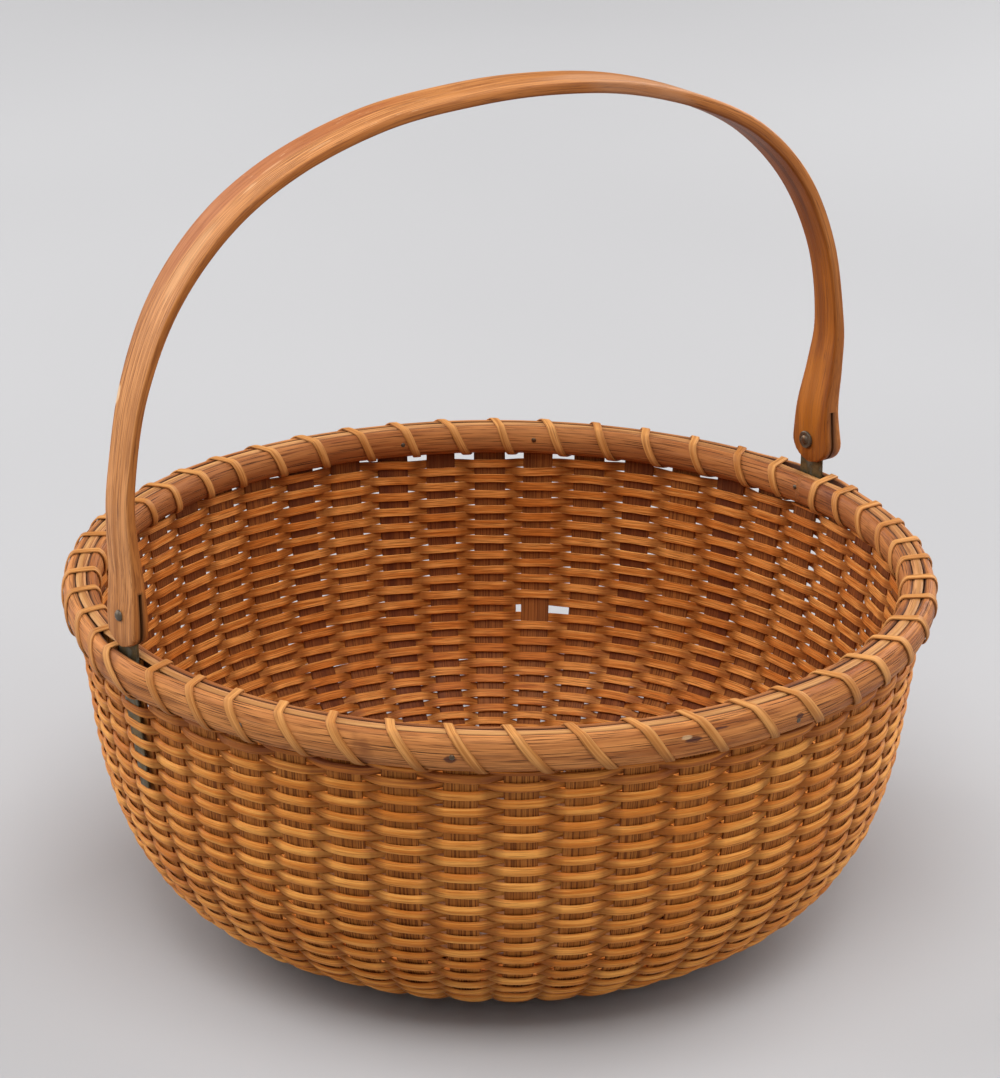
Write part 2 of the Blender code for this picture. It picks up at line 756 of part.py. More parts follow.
def main():
    for obj in list(bpy.data.objects):
        bpy.data.objects.remove(obj, do_unlink=True)
    basket = empty("basket_body")
    swing = empty("handle_pivot", Vector((0, PIVOT_SIDE, PIVOT_HEIGHT)))
    knots = bowl_knots()
    build_base(basket)
    build_staves(basket, knots)
    object_from("weave", weave_mesh(knots), material("weave_cane", CANE), basket)
    build_rim(basket)
    build_ears(basket, knots)
    build_handle(swing)


main()
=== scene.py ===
"""Looks of the round woven basket with its bent swing handle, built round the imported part.

Lengths are in metres, in the part's own frame: the origin is on the ground under the middle of the base,
Z is up, and the handle stands upright over the line through its two rivets.
"""

import json
import math

import bpy
import numpy as np
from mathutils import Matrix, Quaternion, Vector


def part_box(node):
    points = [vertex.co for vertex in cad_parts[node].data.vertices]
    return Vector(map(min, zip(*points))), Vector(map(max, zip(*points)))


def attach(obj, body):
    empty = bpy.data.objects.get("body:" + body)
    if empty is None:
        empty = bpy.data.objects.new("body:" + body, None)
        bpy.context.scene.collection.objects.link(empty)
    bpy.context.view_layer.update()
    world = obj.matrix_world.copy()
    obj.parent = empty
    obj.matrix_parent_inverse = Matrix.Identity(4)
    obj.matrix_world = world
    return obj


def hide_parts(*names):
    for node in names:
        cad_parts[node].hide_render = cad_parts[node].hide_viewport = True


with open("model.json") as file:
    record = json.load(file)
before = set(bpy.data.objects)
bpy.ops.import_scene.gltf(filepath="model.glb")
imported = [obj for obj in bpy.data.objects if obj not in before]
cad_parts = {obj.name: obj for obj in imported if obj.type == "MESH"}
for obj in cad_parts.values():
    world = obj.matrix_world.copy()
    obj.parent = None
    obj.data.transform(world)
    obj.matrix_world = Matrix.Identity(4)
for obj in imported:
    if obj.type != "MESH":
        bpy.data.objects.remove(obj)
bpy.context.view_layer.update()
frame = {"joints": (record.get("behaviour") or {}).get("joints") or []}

# Gap that is kept between pieces that touch.
CLEARANCE = 0.0003

# Base board and the groove round its edge.
BASE_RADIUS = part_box("base_board")[1].x
BASE_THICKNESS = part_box("base_board")[1].z
BASE_EDGE_ROUND = 0.0012
GROOVE_DEPTH = 0.0050
GROOVE_LEVEL = 0.0032
GROOVE_HALF = 0.0012
BASE_SIDES = 144

# Staves. The hoops leave them the room, and the split oak itself is a little thinner.
STAVE_COUNT = 49
STAVE_ROOM = 0.0018
STAVE_THICKNESS = 0.0011
STAVE_FOOT_THICKNESS = 0.0010
STAVE_FOOT_WIDTH = 0.0060
STAVE_TOP_WIDTH = 0.0110

# The staves stand a little unevenly: how far each has strayed from an even pitch, as stave and share.
STRAY = (
    (0.0, 0.0),
    (1.5, -0.04),
    (4.0, 0.10),
    (6.0, 0.26),
    (9.0, 0.32),
    (12.0, 0.42),
    (15.0, 0.33),
    (18.0, 0.17),
    (20.5, 0.0),
    (24.5, 0.0),
    (27.5, -0.16),
    (30.0, -0.16),
    (32.5, -0.03),
    (35.0, 0.02),
    (40.0, 0.12),
    (43.0, 0.24),
    (46.0, 0.02),
    (48.0, -0.04),
    (49.0, 0.0),
)

# Bowl, measured to the middle of a stave's thickness.
BOWL_RADIUS = 0.1388
RIM_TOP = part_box("rim_filler")[1].z
OUTER_RIM_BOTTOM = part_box("outer_rim")[0].z
INNER_RIM_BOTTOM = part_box("inner_rim")[0].z
BOWL_CURVE_SHARES = (
    (0.0, 0.0),
    (0.272, 0.022),
    (0.449, 0.075),
    (0.597, 0.161),
    (0.716, 0.267),
    (0.806, 0.393),
    (0.892, 0.566),
    (0.958, 0.782),
    (1.0, 1.0),
)
WALL_START_RADIUS_SHARE = 0.93
WALL_START_HEIGHT_SHARE = 0.607
CURVE_STEPS = 40

# Half round cane of the weave. Its rows climb steadily, as one strand after another goes round.
CANE_WIDTH = 0.00288
CANE_THICKNESS = 0.00110
ROW_PITCH = 0.00282
FIRST_ROW = 0.0023
LOWEST_PITCH_SHARE = 0.68
FINE_ROWS_SHARE = 0.35
WEAVE_TOP = OUTER_RIM_BOTTOM - 0.0018
CANE_COUNT = 10
STEPS_PER_STAVE = 10
SWING_OUTSIDE = 0.0016
SWING_INSIDE = 0.0012
SWING_AT_BASE_SHARE = 0.92
LAST_WIDTH_SHARE = 0.25
BEND_OUTSIDE = 1.2
BEND_INSIDE = 1.9
GAP_THICKENING = 0.5
GAP_WIDENING = 0.07

# At the back the rows have slipped down from the rim, most of all over a few staves.
BACK_DROP = 0.0003
SLIP_DROP = 0.0013
SLIP_MIDDLE = 7.3
SLIP_REACH = 2.3

# Rim hoops.
OUTER_RIM_THICKNESS = 0.0047
INNER_RIM_THICKNESS = 0.0045
HOOP_SHARES = (
    (0.0, 0.06),
    (0.10, 0.0),
    (0.42, 0.0),
    (0.74, 0.09),
    (0.94, 0.27),
    (1.0, 0.48),
    (0.97, 0.69),
    (0.84, 0.88),
    (0.62, 0.985),
    (0.40, 1.0),
    (0.16, 0.985),
    (0.09, 0.91),
    (0.0, 0.86),
)
HOOP_STEPS_PER_STAVE = 8

# Strip of cane on top between the hoops.
FILLER_WIDTH = 0.0034
FILLER_THICKNESS = 0.0011
FILLER_RISE = 0.00005
FILLER_DODGE = 0.0009

# Lashing.
LASHING_WIDTH = 0.0030
LASHING_THICKNESS = 0.0007
LASHING_SHARES = (0.02, 0.30, 0.40, 0.87, 0.93, 0.98)
LASHING_TOP_SHARE = 0.37
LASHING_ROUNDING = 5

# Brass ears.
PIVOT = Vector(frame["joints"][0]["pos_m"])
EAR_WIDTH = 0.0114
EAR_THICKNESS = 0.0012
EAR_SHEET = 0.0008
EAR_TAIL_WIDTH = 0.0086
EAR_TAIL_END_WIDTH = 0.0046
EAR_EDGE = 0.00022
HALF_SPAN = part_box("ear_right")[1].x - EAR_THICKNESS / 2
EAR_TAIL_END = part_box("ear_right")[0].z

# Bent handle: its centre line across the basket and up from the pivots, from the left end to the right.
HANDLE_RISE = 0.1464
HANDLE_LINE_SHARES = (
    (-1.0, 0.0),
    (-1.0, 0.085),
    (-1.008, 0.19),
    (-1.004, 0.30),
    (-0.966, 0.491),
    (-0.882, 0.671),
    (-0.744, 0.817),
    (-0.566, 0.916),
    (-0.337, 0.980),
    (-0.112, 0.9995),
    (0.112, 0.9965),
    (0.350, 0.966),
    (0.581, 0.897),
    (0.763, 0.805),
    (0.907, 0.665),
    (0.997, 0.488),
    (1.030, 0.30),
    (1.020, 0.19),
    (1.0, 0.085),
    (1.0, 0.0),
)
HANDLE_STATIONS = 200

# Share of the way along the bow from the left pivot, width and thickness there.
HANDLE_SIZES = (
    (0.0, 0.0168, 0.0058),
    (0.05, 0.0147, 0.0038),
    (0.12, 0.0137, 0.0028),
    (0.25, 0.0170, 0.0030),
    (0.38, 0.0182, 0.0033),
    (0.50, 0.0180, 0.0040),
    (0.62, 0.0166, 0.0046),
    (0.75, 0.0144, 0.0046),
    (0.88, 0.0114, 0.0042),
    (0.95, 0.0146, 0.0054),
    (1.0, 0.0186, 0.0074),
)

# How far the handle strays: share along it, outwards and to the far side.
HANDLE_STRAYS = (
    (0.0, 0.0, 0.0),
    (0.70, 0.0, 0.0),
    (0.88, 0.0, -0.0013),
    (0.96, 0.0004, -0.0014),
    (1.0, 0.0008, -0.0014),
)

# Ends of the two paddles: depth below the pivot, and the outline as shares of the depth and of the width.
LEFT_END_DROP = 0.0103
LEFT_END = ((0.25, 1.0), (0.55, 0.98), (0.70, 0.90), (0.86, 0.62), (0.97, 0.30), (1.0, 0.16))
RIGHT_END_DROP = 0.0078
RIGHT_END = ((0.20, 0.99), (0.40, 0.93), (0.60, 0.82), (0.78, 0.64), (0.91, 0.42), (1.0, 0.16))
HANDLE_ROUND = 0.0012
LEFT_SLIT_RISE = 0.0088
RIGHT_SLIT_RISE = 0.0120
SLIT_DEPTH = 0.0174
SLIT_WIDTH = 0.0010

# Rivets and nails.
RIVET_RADIUS = 0.0012
RIVET_HEAD_RADIUS = 0.0019
RIVET_HEAD_HEIGHT = 0.0012
BURR_RADIUS = 0.0031
BURR_THICKNESS = 0.0008
PEEN_RADIUS = 0.0017
PEEN_HEIGHT = 0.0006
NAIL_RADIUS = 0.0009
NAIL_HEIGHT = 0.0004
RIVET_SIDES = 32

# Camera, fitted to the photograph.
IMAGE_WIDTH = 1000
IMAGE_HEIGHT = 1078
CAMERA_AZIMUTH = math.radians(-36.4)
CAMERA_ELEVATION = math.radians(21.5)
CAMERA_ROLL = math.radians(0.3)
CAMERA_DISTANCE = 1.200
FOCAL_PIXELS = 3600
RIM_CENTRE_PIXEL = (500.0, 561.0)
SENSOR = 36.0

PITCH = 2 * math.pi / STAVE_COUNT
EAR_STAVES = (0, STAVE_COUNT // 2)
EAR_TURN = STAVE_COUNT % 2 * PITCH / 4
STAVE_REACH = STAVE_ROOM / 2
OUTER_RIM_INSIDE = BOWL_RADIUS + STAVE_REACH + CLEARANCE
INNER_RIM_OUTSIDE = BOWL_RADIUS - STAVE_REACH - CLEARANCE
EAR_FAR_CORNER = math.hypot(HALF_SPAN + EAR_THICKNESS / 2, PIVOT.y + EAR_WIDTH / 2)
EAR_SPREAD = EAR_FAR_CORNER + CLEARANCE - OUTER_RIM_INSIDE

rng = np.random.default_rng(49)


# Curves and meshes

def smooth_curve(points, count):
    """Places at even distances along a smooth curve through the points."""
    points = np.array(points, float)
    spans = len(points) - 1
    padded = np.vstack([points[:1], points, points[-1:]])
    places = np.linspace(0, spans, spans * CURVE_STEPS + 1)
    index = np.minimum(places.astype(int), spans - 1)
    part = (places - index)[:, None]
    before, start, end, after = (padded[index + shift] for shift in range(4))
    bend = 2 * before - 5 * start + 4 * end - after
    turn = 3 * start - before - 3 * end + after
    line = start + (end - before) * part / 2 + bend * part**2 / 2 + turn * part**3 / 2
    return resampled(line, count)


def resampled(line, count):
    """The same line with this many points at even distances."""
    run = lengths(line)
    goal = np.linspace(0, run[-1], count)
    return np.stack([np.interp(goal, run, line[:, axis]) for axis in range(line.shape[1])], axis=1)


def lengths(line):
    """Distance along a line at each of its points."""
    steps = np.linalg.norm(np.diff(line, axis=0), axis=1)
    return np.concatenate([[0.0], np.cumsum(steps)])


def unit(vectors):
    return vectors / np.linalg.norm(vectors, axis=-1, keepdims=True)


def ease(low, high, value):
    """Goes smoothly from 0 at the low value to 1 at the high one."""
    part = np.clip((np.asarray(value, float) - low) / (high - low), 0.0, 1.0)
    return part * part * (3 - 2 * part)


def waver(places, period, seed):
    """A smooth wander between about -1 and 1 along a line, with bumps about a period long."""
    source = np.random.default_rng(seed)
    total = np.zeros(np.shape(places))
    for scale, weight in ((1.0, 0.6), (0.53, 0.3), (0.29, 0.15)):
        phase = source.uniform(0, 2 * math.pi)
        drift = source.uniform(0, 2 * math.pi)
        angle = 2 * math.pi * np.asarray(places) / (period * scale)
        total = total + weight * np.sin(angle + phase + 1.7 * np.sin(angle * 0.37 + drift))
    return total


class Mesh:
    """Points and faces of one piece, with where each point lay in the straight stick and its finish.

    The finish holds three shares: tone from dark to light, painted shade and dirt, and reddening.
    """

    def __init__(self):
        self.points = []
        self.straight = []
        self.finish = []
        self.faces = []
        self.count = 0

    def add_rings(self, rings, straight, finish, closed=False, caps=True):
        """Skin rows of rings, given as arrays of rows, sides and three."""
        rows, sides = rings.shape[:2]
        index = np.arange(rows * sides).reshape(rows, sides) + self.count
        low = index if closed else index[:-1]
        high = np.roll(index, -1, axis=0) if closed else index[1:]
        quads = np.stack([low, np.roll(low, -1, axis=1), np.roll(high, -1, axis=1), high], axis=-1)
        self.faces += quads.reshape(-1, 4).tolist()
        if caps and not closed:
            self.faces.append(index[0, ::-1].tolist())
            self.faces.append(index[-1].tolist())
        self.points.append(rings.reshape(-1, 3))
        self.straight.append(np.broadcast_to(straight, rings.shape).reshape(-1, 3))
        self.finish.append(np.broadcast_to(finish, rings.shape).reshape(-1, 3))
        self.count += rows * sides

    def build(self, name, sharp=50):
        mesh = bpy.data.meshes.new(name)
        points = np.vstack(self.points)
        mesh.from_pydata(points.tolist(), [], self.faces)
        turn_outwards(mesh)
        for label, rows in (("straight", self.straight), ("finish", self.finish)):
            layer = mesh.attributes.new(label, "FLOAT_VECTOR", "POINT")
            layer.data.foreach_set("vector", np.vstack(rows).astype(np.float32).ravel())
        mesh.shade_smooth()
        mesh.set_sharp_from_angle(angle=math.radians(sharp))
        obj = bpy.data.objects.new(name, mesh)
        bpy.context.scene.collection.objects.link(obj)
        return obj


def turn_outwards(mesh):
    """Flip the faces where they enclose a volume inside out."""
    mesh.calc_loop_triangles()
    corners = np.empty(len(mesh.loop_triangles) * 3, np.int32)
    mesh.loop_triangles.foreach_get("vertices", corners)
    points = np.empty(len(mesh.vertices) * 3, np.float32)
    mesh.vertices.foreach_get("co", points)
    triangles = points.reshape(-1, 3)[corners.reshape(-1, 3)].astype(float)
    if np.einsum("ij,ij->i", triangles[:, 0], np.cross(triangles[:, 1], triangles[:, 2])).sum() < 0:
        mesh.flip_normals()


def swept(centre, side, depth, outline, width, thickness):
    """Rings of an outline of unit width and thickness, set along a line on its side and depth directions."""
    across = np.array(outline)[None, :, :1] * np.broadcast_to(width, len(centre))[:, None, None]
    deep = np.array(outline)[None, :, 1:] * np.broadcast_to(thickness, len(centre))[:, None, None]
    return centre[:, None] + side[:, None] * across + depth[:, None] * deep


def straightened(run, outline, width, thickness):
    """Where the points of swept rings lay in the straight stick: along, across and through it."""
    count = len(run)
    across = np.array(outline)[None, :, 0] * np.broadcast_to(width, count)[:, None]
    deep = np.array(outline)[None, :, 1] * np.broadcast_to(thickness, count)[:, None]
    return np.stack([np.broadcast_to(run[:, None], across.shape), across, deep], axis=-1)


# The bowl's own line

def bowl_line():
    """Middle of a stave from the edge of the base to its top, as radius and height."""
    wall_radius = BASE_RADIUS + (BOWL_RADIUS - BASE_RADIUS) * WALL_START_RADIUS_SHARE
    wall_height = GROOVE_LEVEL + (OUTER_RIM_BOTTOM - GROOVE_LEVEL) * WALL_START_HEIGHT_SHARE
    start = BASE_RADIUS + CLEARANCE
    curve = [
        (start + (wall_radius - start) * out, GROOVE_LEVEL + (wall_height - GROOVE_LEVEL) * up)
        for out, up in BOWL_CURVE_SHARES
    ]
    curve = smooth_curve(curve, 200)
    stave_top = RIM_TOP - FILLER_THICKNESS - CLEARANCE
    upper = np.array([(BOWL_RADIUS, OUTER_RIM_BOTTOM), (BOWL_RADIUS, stave_top)])
    return resampled(np.vstack([curve, upper]), 400)


BOWL = bowl_line()
BOWL_RUN = lengths(BOWL)
BOWL_WAY = unit(np.gradient(BOWL, axis=0))


def bowl_at(run):
    """Place on the bowl's line at a distance up it, the direction up it and the direction out of it."""
    place = np.stack([np.interp(run, BOWL_RUN, BOWL[:, axis]) for axis in (0, 1)], axis=-1)
    way = unit(np.stack([np.interp(run, BOWL_RUN, BOWL_WAY[:, axis]) for axis in (0, 1)], axis=-1))
    out = np.stack([way[..., 1], -way[..., 0]], axis=-1)
    return place, way, out


def run_at_height(height):
    return float(np.interp(height, BOWL[:, 1], BOWL_RUN))


def upright(angle, flat):
    """Turn radius and height into a place or direction in the upright plane at each angle."""
    angle = np.asarray(angle, float)
    radius = flat[..., 0]
    return np.stack([np.cos(angle) * radius, np.sin(angle) * radius, flat[..., 1]], axis=-1)


def along_wall(angle):
    return np.stack([-np.sin(angle), np.cos(angle), np.zeros(np.shape(angle))], axis=-1)


def stave_width(radius):
    part = np.clip((radius - BASE_RADIUS) / (BOWL_RADIUS - BASE_RADIUS), 0.0, 1.0)
    return STAVE_FOOT_WIDTH + (STAVE_TOP_WIDTH - STAVE_FOOT_WIDTH) * part


def ear_swing(turn):
    """Distance from the nearest ear's stave, in staves."""
    found = np.full(np.shape(turn), float(STAVE_COUNT))
    for stave in EAR_STAVES:
        swing = np.asarray(turn) - stave
        swing = swing - STAVE_COUNT * np.round(swing / STAVE_COUNT)
        found = np.where(np.abs(swing) < np.abs(found), swing, found)
    return found


def wall_angle(turn):
    """Direction from the bowl's middle to a place that has gone round this many staves."""
    strays = np.array(STRAY)
    turn = np.asarray(turn, float)
    return EAR_TURN + PITCH * (turn + np.interp(turn % STAVE_COUNT, strays[:, 0], strays[:, 1]))


def ear_spread(turn):
    """How far the outer hoop stands off where it goes round an ear."""
    return EAR_SPREAD * (1 - ease(0.45, 1.6, np.abs(ear_swing(turn))))


def handle_line():
    points = np.array(HANDLE_LINE_SHARES) * np.array([HALF_SPAN, HANDLE_RISE])
    return smooth_curve(points, HANDLE_STATIONS)


HANDLE_LENGTH = float(lengths(handle_line())[-1])


# Shading

# Marks on the handle: share along it, place across it, half length and half width, strength and colour.
HANDLE_MARKS = (
    (0.605, -0.003, 0.034, 0.0060, 0.45, (0.52, 0.28, 0.16)),
    (0.755, -0.001, 0.040, 0.0015, 0.60, (0.12, 0.036, 0.010)),
    (0.325, 0.0045, 0.055, 0.0042, 0.55, (0.37, 0.105, 0.036)),
    (0.240, -0.002, 0.014, 0.0022, 0.30, (0.70, 0.40, 0.19)),
    (0.301, -0.001, 0.0030, 0.0006, 0.28, (0.78, 0.50, 0.27)),
    (0.322, 0.001, 0.0040, 0.0005, 0.28, (0.76, 0.47, 0.25)),
    (0.354, -0.004, 0.0045, 0.0006, 0.25, (0.78, 0.50, 0.27)),
    (0.145, 0.006, 0.0030, 0.0010, 0.70, (0.84, 0.60, 0.37)),
    (0.970, 0.000, 0.016, 0.0060, 0.35, (0.58, 0.19, 0.018)),
)

# Marks on the outer hoop: staves round, height over its middle, half length and half height.
RIM_STAINS = (
    (30.76, -0.0016, 0.0018, 0.0012),
    (27.04, -0.0012, 0.0015, 0.0010),
    (36.90, -0.0010, 0.0014, 0.0010),
    (34.78, 0.0002, 0.0026, 0.0009),
    (35.20, 0.0021, 0.0040, 0.0004),
)
RIM_CHIPS = ((34.66, 0.0012, 0.0016, 0.0007),)
OUTER_HOOP_SEED = 1
INNER_HOOP_SEED = 2
FILLER_SEED = 3
FIBRE_SHINE = 0.13
WOOD_SHINE = 0.12


def rim_run(turn):
    """Where a place on the outer hoop lay in the straight strip."""
    return (EAR_TURN + PITCH * turn) * BOWL_RADIUS + OUTER_HOOP_SEED


def node(tree, kind, inputs=None, **settings):
    """A shader node with its settings, and its inputs linked or set."""
    made = tree.nodes.new(kind)
    for name, value in settings.items():
        setattr(made, name, value)
    for key, value in (inputs or {}).items():
        if isinstance(value, bpy.types.NodeSocket):
            tree.links.new(value, made.inputs[key])
        else:
            made.inputs[key].default_value = value
    return made


def calculate(tree, operation, first, second=0.0, clamp=False):
    made = node(tree, "ShaderNodeMath", {0: first, 1: second}, operation=operation, use_clamp=clamp)
    return made.outputs[0]


def spread(tree, value, low, high, start=0.0, end=1.0):
    """Map a value smoothly from one range to another."""
    inputs = {"Value": value, "From Min": low, "From Max": high, "To Min": start, "To Max": end}
    made = node(tree, "ShaderNodeMapRange", inputs, interpolation_type="SMOOTHSTEP")
    return made.outputs["Result"]


def mixed(tree, factor, first, second, blend="MIX"):
    """Blend two colours."""
    ends = []
    for colour in (first, second):
        ends.append((*colour, 1.0) if isinstance(colour, tuple) else colour)
    inputs = {0: factor, 6: ends[0], 7: ends[1]}
    made = node(tree, "ShaderNodeMix", inputs, data_type="RGBA", blend_type=blend)
    return made.outputs[2]


def grained(tree, along, across, detail=3.0, rough=0.55, shift=0.0):
    """Noise drawn out along the stick, with features of these lengths along and across it."""
    straight = node(tree, "ShaderNodeAttribute", attribute_name="straight").outputs["Vector"]
    size = (1 / along, 1 / across, 1 / across)
    place = node(tree, "ShaderNodeVectorMath", {0: straight, 1: size}, operation="MULTIPLY").outputs[0]
    place = node(tree, "ShaderNodeVectorMath", {0: place, 1: (shift, shift, shift)}).outputs[0]
    inputs = {"Vector": place, "Scale": 1.0, "Detail": detail, "Roughness": rough}
    return node(tree, "ShaderNodeTexNoise", inputs).outputs[0]


def patchy(tree, size, detail=2.0, shift=0.0):
    """Noise in patches of this size, the same in every direction."""
    place = node(tree, "ShaderNodeTexCoord").outputs["Object"]
    place = node(tree, "ShaderNodeVectorMath", {0: place, 1: (shift, shift, shift)}).outputs[0]
    inputs = {"Vector": place, "Scale": 1 / size, "Detail": detail, "Roughness": 0.5}
    return node(tree, "ShaderNodeTexNoise", inputs).outputs[0]


def spot(tree, place, size, rough=0.3, shift=0.0):
    """A soft edged patch round a place in the straight stick, with its half sizes along and across."""
    straight = node(tree, "ShaderNodeAttribute", attribute_name="straight").outputs["Vector"]
    away = node(tree, "ShaderNodeVectorMath", {0: straight, 1: (*place, 0.0)}, operation="SUBTRACT").outputs[0]
    inputs = {0: away, 1: (1 / size[0], 1 / size[1], 0.0)}
    away = node(tree, "ShaderNodeVectorMath", inputs, operation="MULTIPLY").outputs[0]
    away = node(tree, "ShaderNodeVectorMath", {0: away}, operation="LENGTH").outputs["Value"]
    ragged = grained(tree, size[0] * 0.6, size[1] * 0.6, shift=shift)
    away = calculate(tree, "ADD", away, calculate(tree, "MULTIPLY", ragged, rough * 2))
    return spread(tree, away, 1.25 + rough, 0.75 + rough)


def finish_of(tree):
    """The tone, painted shade and dirt, and reddening that each point carries."""
    vector = node(tree, "ShaderNodeAttribute", attribute_name="finish").outputs["Vector"]
    return node(tree, "ShaderNodeSeparateXYZ", {0: vector}).outputs


def new_material(name):
    made = bpy.data.materials.new(name)
    made.use_nodes = True
    return made, made.node_tree, made.node_tree.nodes["Principled BSDF"]


def shade(tree, shader, colour, roughness, height, depth, strength=0.6):
    """Wire colour, roughness and a bump of this depth into the shader."""
    bump = node(tree, "ShaderNodeBump", {"Height": height, "Strength": strength, "Distance": depth})
    tree.links.new(colour, shader.inputs["Base Color"])
    tree.links.new(roughness, shader.inputs["Roughness"])
    tree.links.new(bump.outputs[0], shader.inputs["Normal"])


def fibre_material(name, dark, middle, light, along, across, gloss, red=(0.20, 0.055, 0.022)):
    """Split cane: fine fibres along the strand, slow changes of tone, painted shade in the hollows and creases."""
    made, tree, shader = new_material(name)
    tone, painted_shade_and_dirt, reddening = finish_of(tree)
    fibres = grained(tree, along, across, detail=4.0)
    streaks = grained(tree, along * 4, across * 3.5, shift=3.0)
    slow = patchy(tree, 0.035, shift=1.0)
    level = calculate(tree, "ADD", spread(tree, streaks, 0.3, 0.7), calculate(tree, "MULTIPLY", tone, 0.55))
    level = calculate(tree, "ADD", level, calculate(tree, "MULTIPLY", spread(tree, slow, 0.3, 0.7), 0.35))
    colour = mixed(tree, spread(tree, level, 0.1, 1.5), middle, light)
    colour = mixed(tree, spread(tree, fibres, 0.50, 0.30, 0.0, 0.55), colour, dark)
    straight = node(tree, "ShaderNodeAttribute", attribute_name="straight").outputs["Vector"]
    pith = spread(tree, node(tree, "ShaderNodeSeparateXYZ", {0: straight}).outputs[2], -0.0001, -0.0004)
    dull = mixed(tree, spread(tree, fibres, 0.60, 0.40), (1.04, 1.0, 1.12), (0.70, 0.61, 0.64))
    colour = mixed(tree, pith, colour, dull, blend="MULTIPLY")
    # Painted shade: darker where the points carry shade, at dives, creases and strip edges.
    colour = mixed(tree, calculate(tree, "MULTIPLY", painted_shade_and_dirt, 0.85), colour, dark)
    colour = mixed(tree, reddening, colour, mixed(tree, spread(tree, streaks, 0.35, 0.7), red, middle))
    rough = spread(tree, streaks, 0.3, 0.7, gloss, gloss + 0.14)
    shade(tree, shader, colour, rough, fibres, across * 0.35)
    shader.inputs["Specular IOR Level"].default_value = FIBRE_SHINE
    return made


def stave_material():
    """Split oak: upright ribs of pale and dark grain."""
    made, tree, shader = new_material("stave_oak")
    tone, painted_shade_and_dirt, _ = finish_of(tree)
    straight = node(tree, "ShaderNodeAttribute", attribute_name="straight").outputs["Vector"]
    outside = spread(tree, node(tree, "ShaderNodeSeparateXYZ", {0: straight}).outputs[2], -0.0003, 0.0003)
    ribs = grained(tree, 0.060, 0.00046, detail=1.5)
    fine = grained(tree, 0.020, 0.00022, detail=3.0, shift=5.0)
    slow = grained(tree, 0.09, 0.005, shift=2.0)
    # Painted shade: the inner face gets darker colours than the outer one, for the shade inside the bowl.
    inner = mixed(tree, spread(tree, slow, 0.3, 0.7), (0.12, 0.028, 0.010), (0.28, 0.078, 0.017))
    outer = mixed(tree, spread(tree, slow, 0.3, 0.7), (0.38, 0.122, 0.020), (0.54, 0.200, 0.040))
    lit_and_shaded_sides = mixed(tree, outside, inner, outer)
    lit_and_shaded_sides = mixed(tree, calculate(tree, "MULTIPLY", tone, 0.45), lit_and_shaded_sides, (0.50, 0.180, 0.034))
    colour = mixed(tree, spread(tree, ribs, 0.52, 0.40, 0.0, 0.75), lit_and_shaded_sides, (0.120, 0.028, 0.007))
    colour = mixed(tree, spread(tree, fine, 0.5, 0.3, 0.0, 0.45), colour, (0.15, 0.038, 0.009))
    colour = mixed(tree, painted_shade_and_dirt, colour, (0.07, 0.018, 0.008))
    shade(tree, shader, colour, spread(tree, ribs, 0.3, 0.7, 0.66, 0.5), ribs, 0.00025)
    shader.inputs["Specular IOR Level"].default_value = FIBRE_SHINE
    return made


def rim_material():
    """Darkened hoop wood: long dark grain, reddish brown and grey lilac streaks, and stains."""
    made, tree, shader = new_material("rim_wood")
    tone, painted_shade_and_dirt, reddening = finish_of(tree)
    grain = grained(tree, 0.016, 0.00045, detail=4.0)
    cracks = grained(tree, 0.022, 0.00032, detail=2.0, shift=9.0)
    broad = grained(tree, 0.050, 0.0028, detail=2.0, shift=4.0)
    veil = grained(tree, 0.035, 0.0035, shift=7.0)
    stain = patchy(tree, 0.020, detail=3.0, shift=2.0)
    colour = mixed(tree, spread(tree, broad, 0.32, 0.68), (0.32, 0.092, 0.022), (0.60, 0.230, 0.065))
    colour = mixed(tree, calculate(tree, "MULTIPLY", tone, 0.6), colour, (0.72, 0.325, 0.110))
    colour = mixed(tree, reddening, colour, (0.24, 0.070, 0.022))
    colour = mixed(tree, spread(tree, veil, 0.58, 0.76, 0.0, 0.3), colour, (0.46, 0.215, 0.098))
    colour = mixed(tree, spread(tree, grain, 0.50, 0.35, 0.0, 0.62), colour, (0.14, 0.038, 0.011))
    colour = mixed(tree, spread(tree, cracks, 0.42, 0.33, 0.0, 0.9), colour, (0.030, 0.010, 0.005))
    colour = mixed(tree, spread(tree, stain, 0.60, 0.74, 0.0, 0.6), colour, (0.11, 0.028, 0.014))
    for turn, up, half_run, half_height in RIM_STAINS:
        mask = spot(tree, (rim_run(turn), up), (half_run, half_height), shift=turn)
        colour = mixed(tree, calculate(tree, "MULTIPLY", mask, 0.8), colour, (0.055, 0.020, 0.020))
    for turn, up, half_run, half_height in RIM_CHIPS:
        mask = spot(tree, (rim_run(turn), up), (half_run, half_height), shift=turn)
        colour = mixed(tree, calculate(tree, "MULTIPLY", mask, 0.8), colour, (0.62, 0.40, 0.22))
    # Painted shade in the crease along the hoop's top edge.
    colour = mixed(tree, painted_shade_and_dirt, colour, (0.05, 0.015, 0.007))
    height = calculate(tree, "SUBTRACT", grain, spread(tree, cracks, 0.42, 0.31))
    shade(tree, shader, colour, spread(tree, broad, 0.3, 0.7, 0.44, 0.60), height, 0.00025)
    shader.inputs["Specular IOR Level"].default_value = WOOD_SHINE
    return made


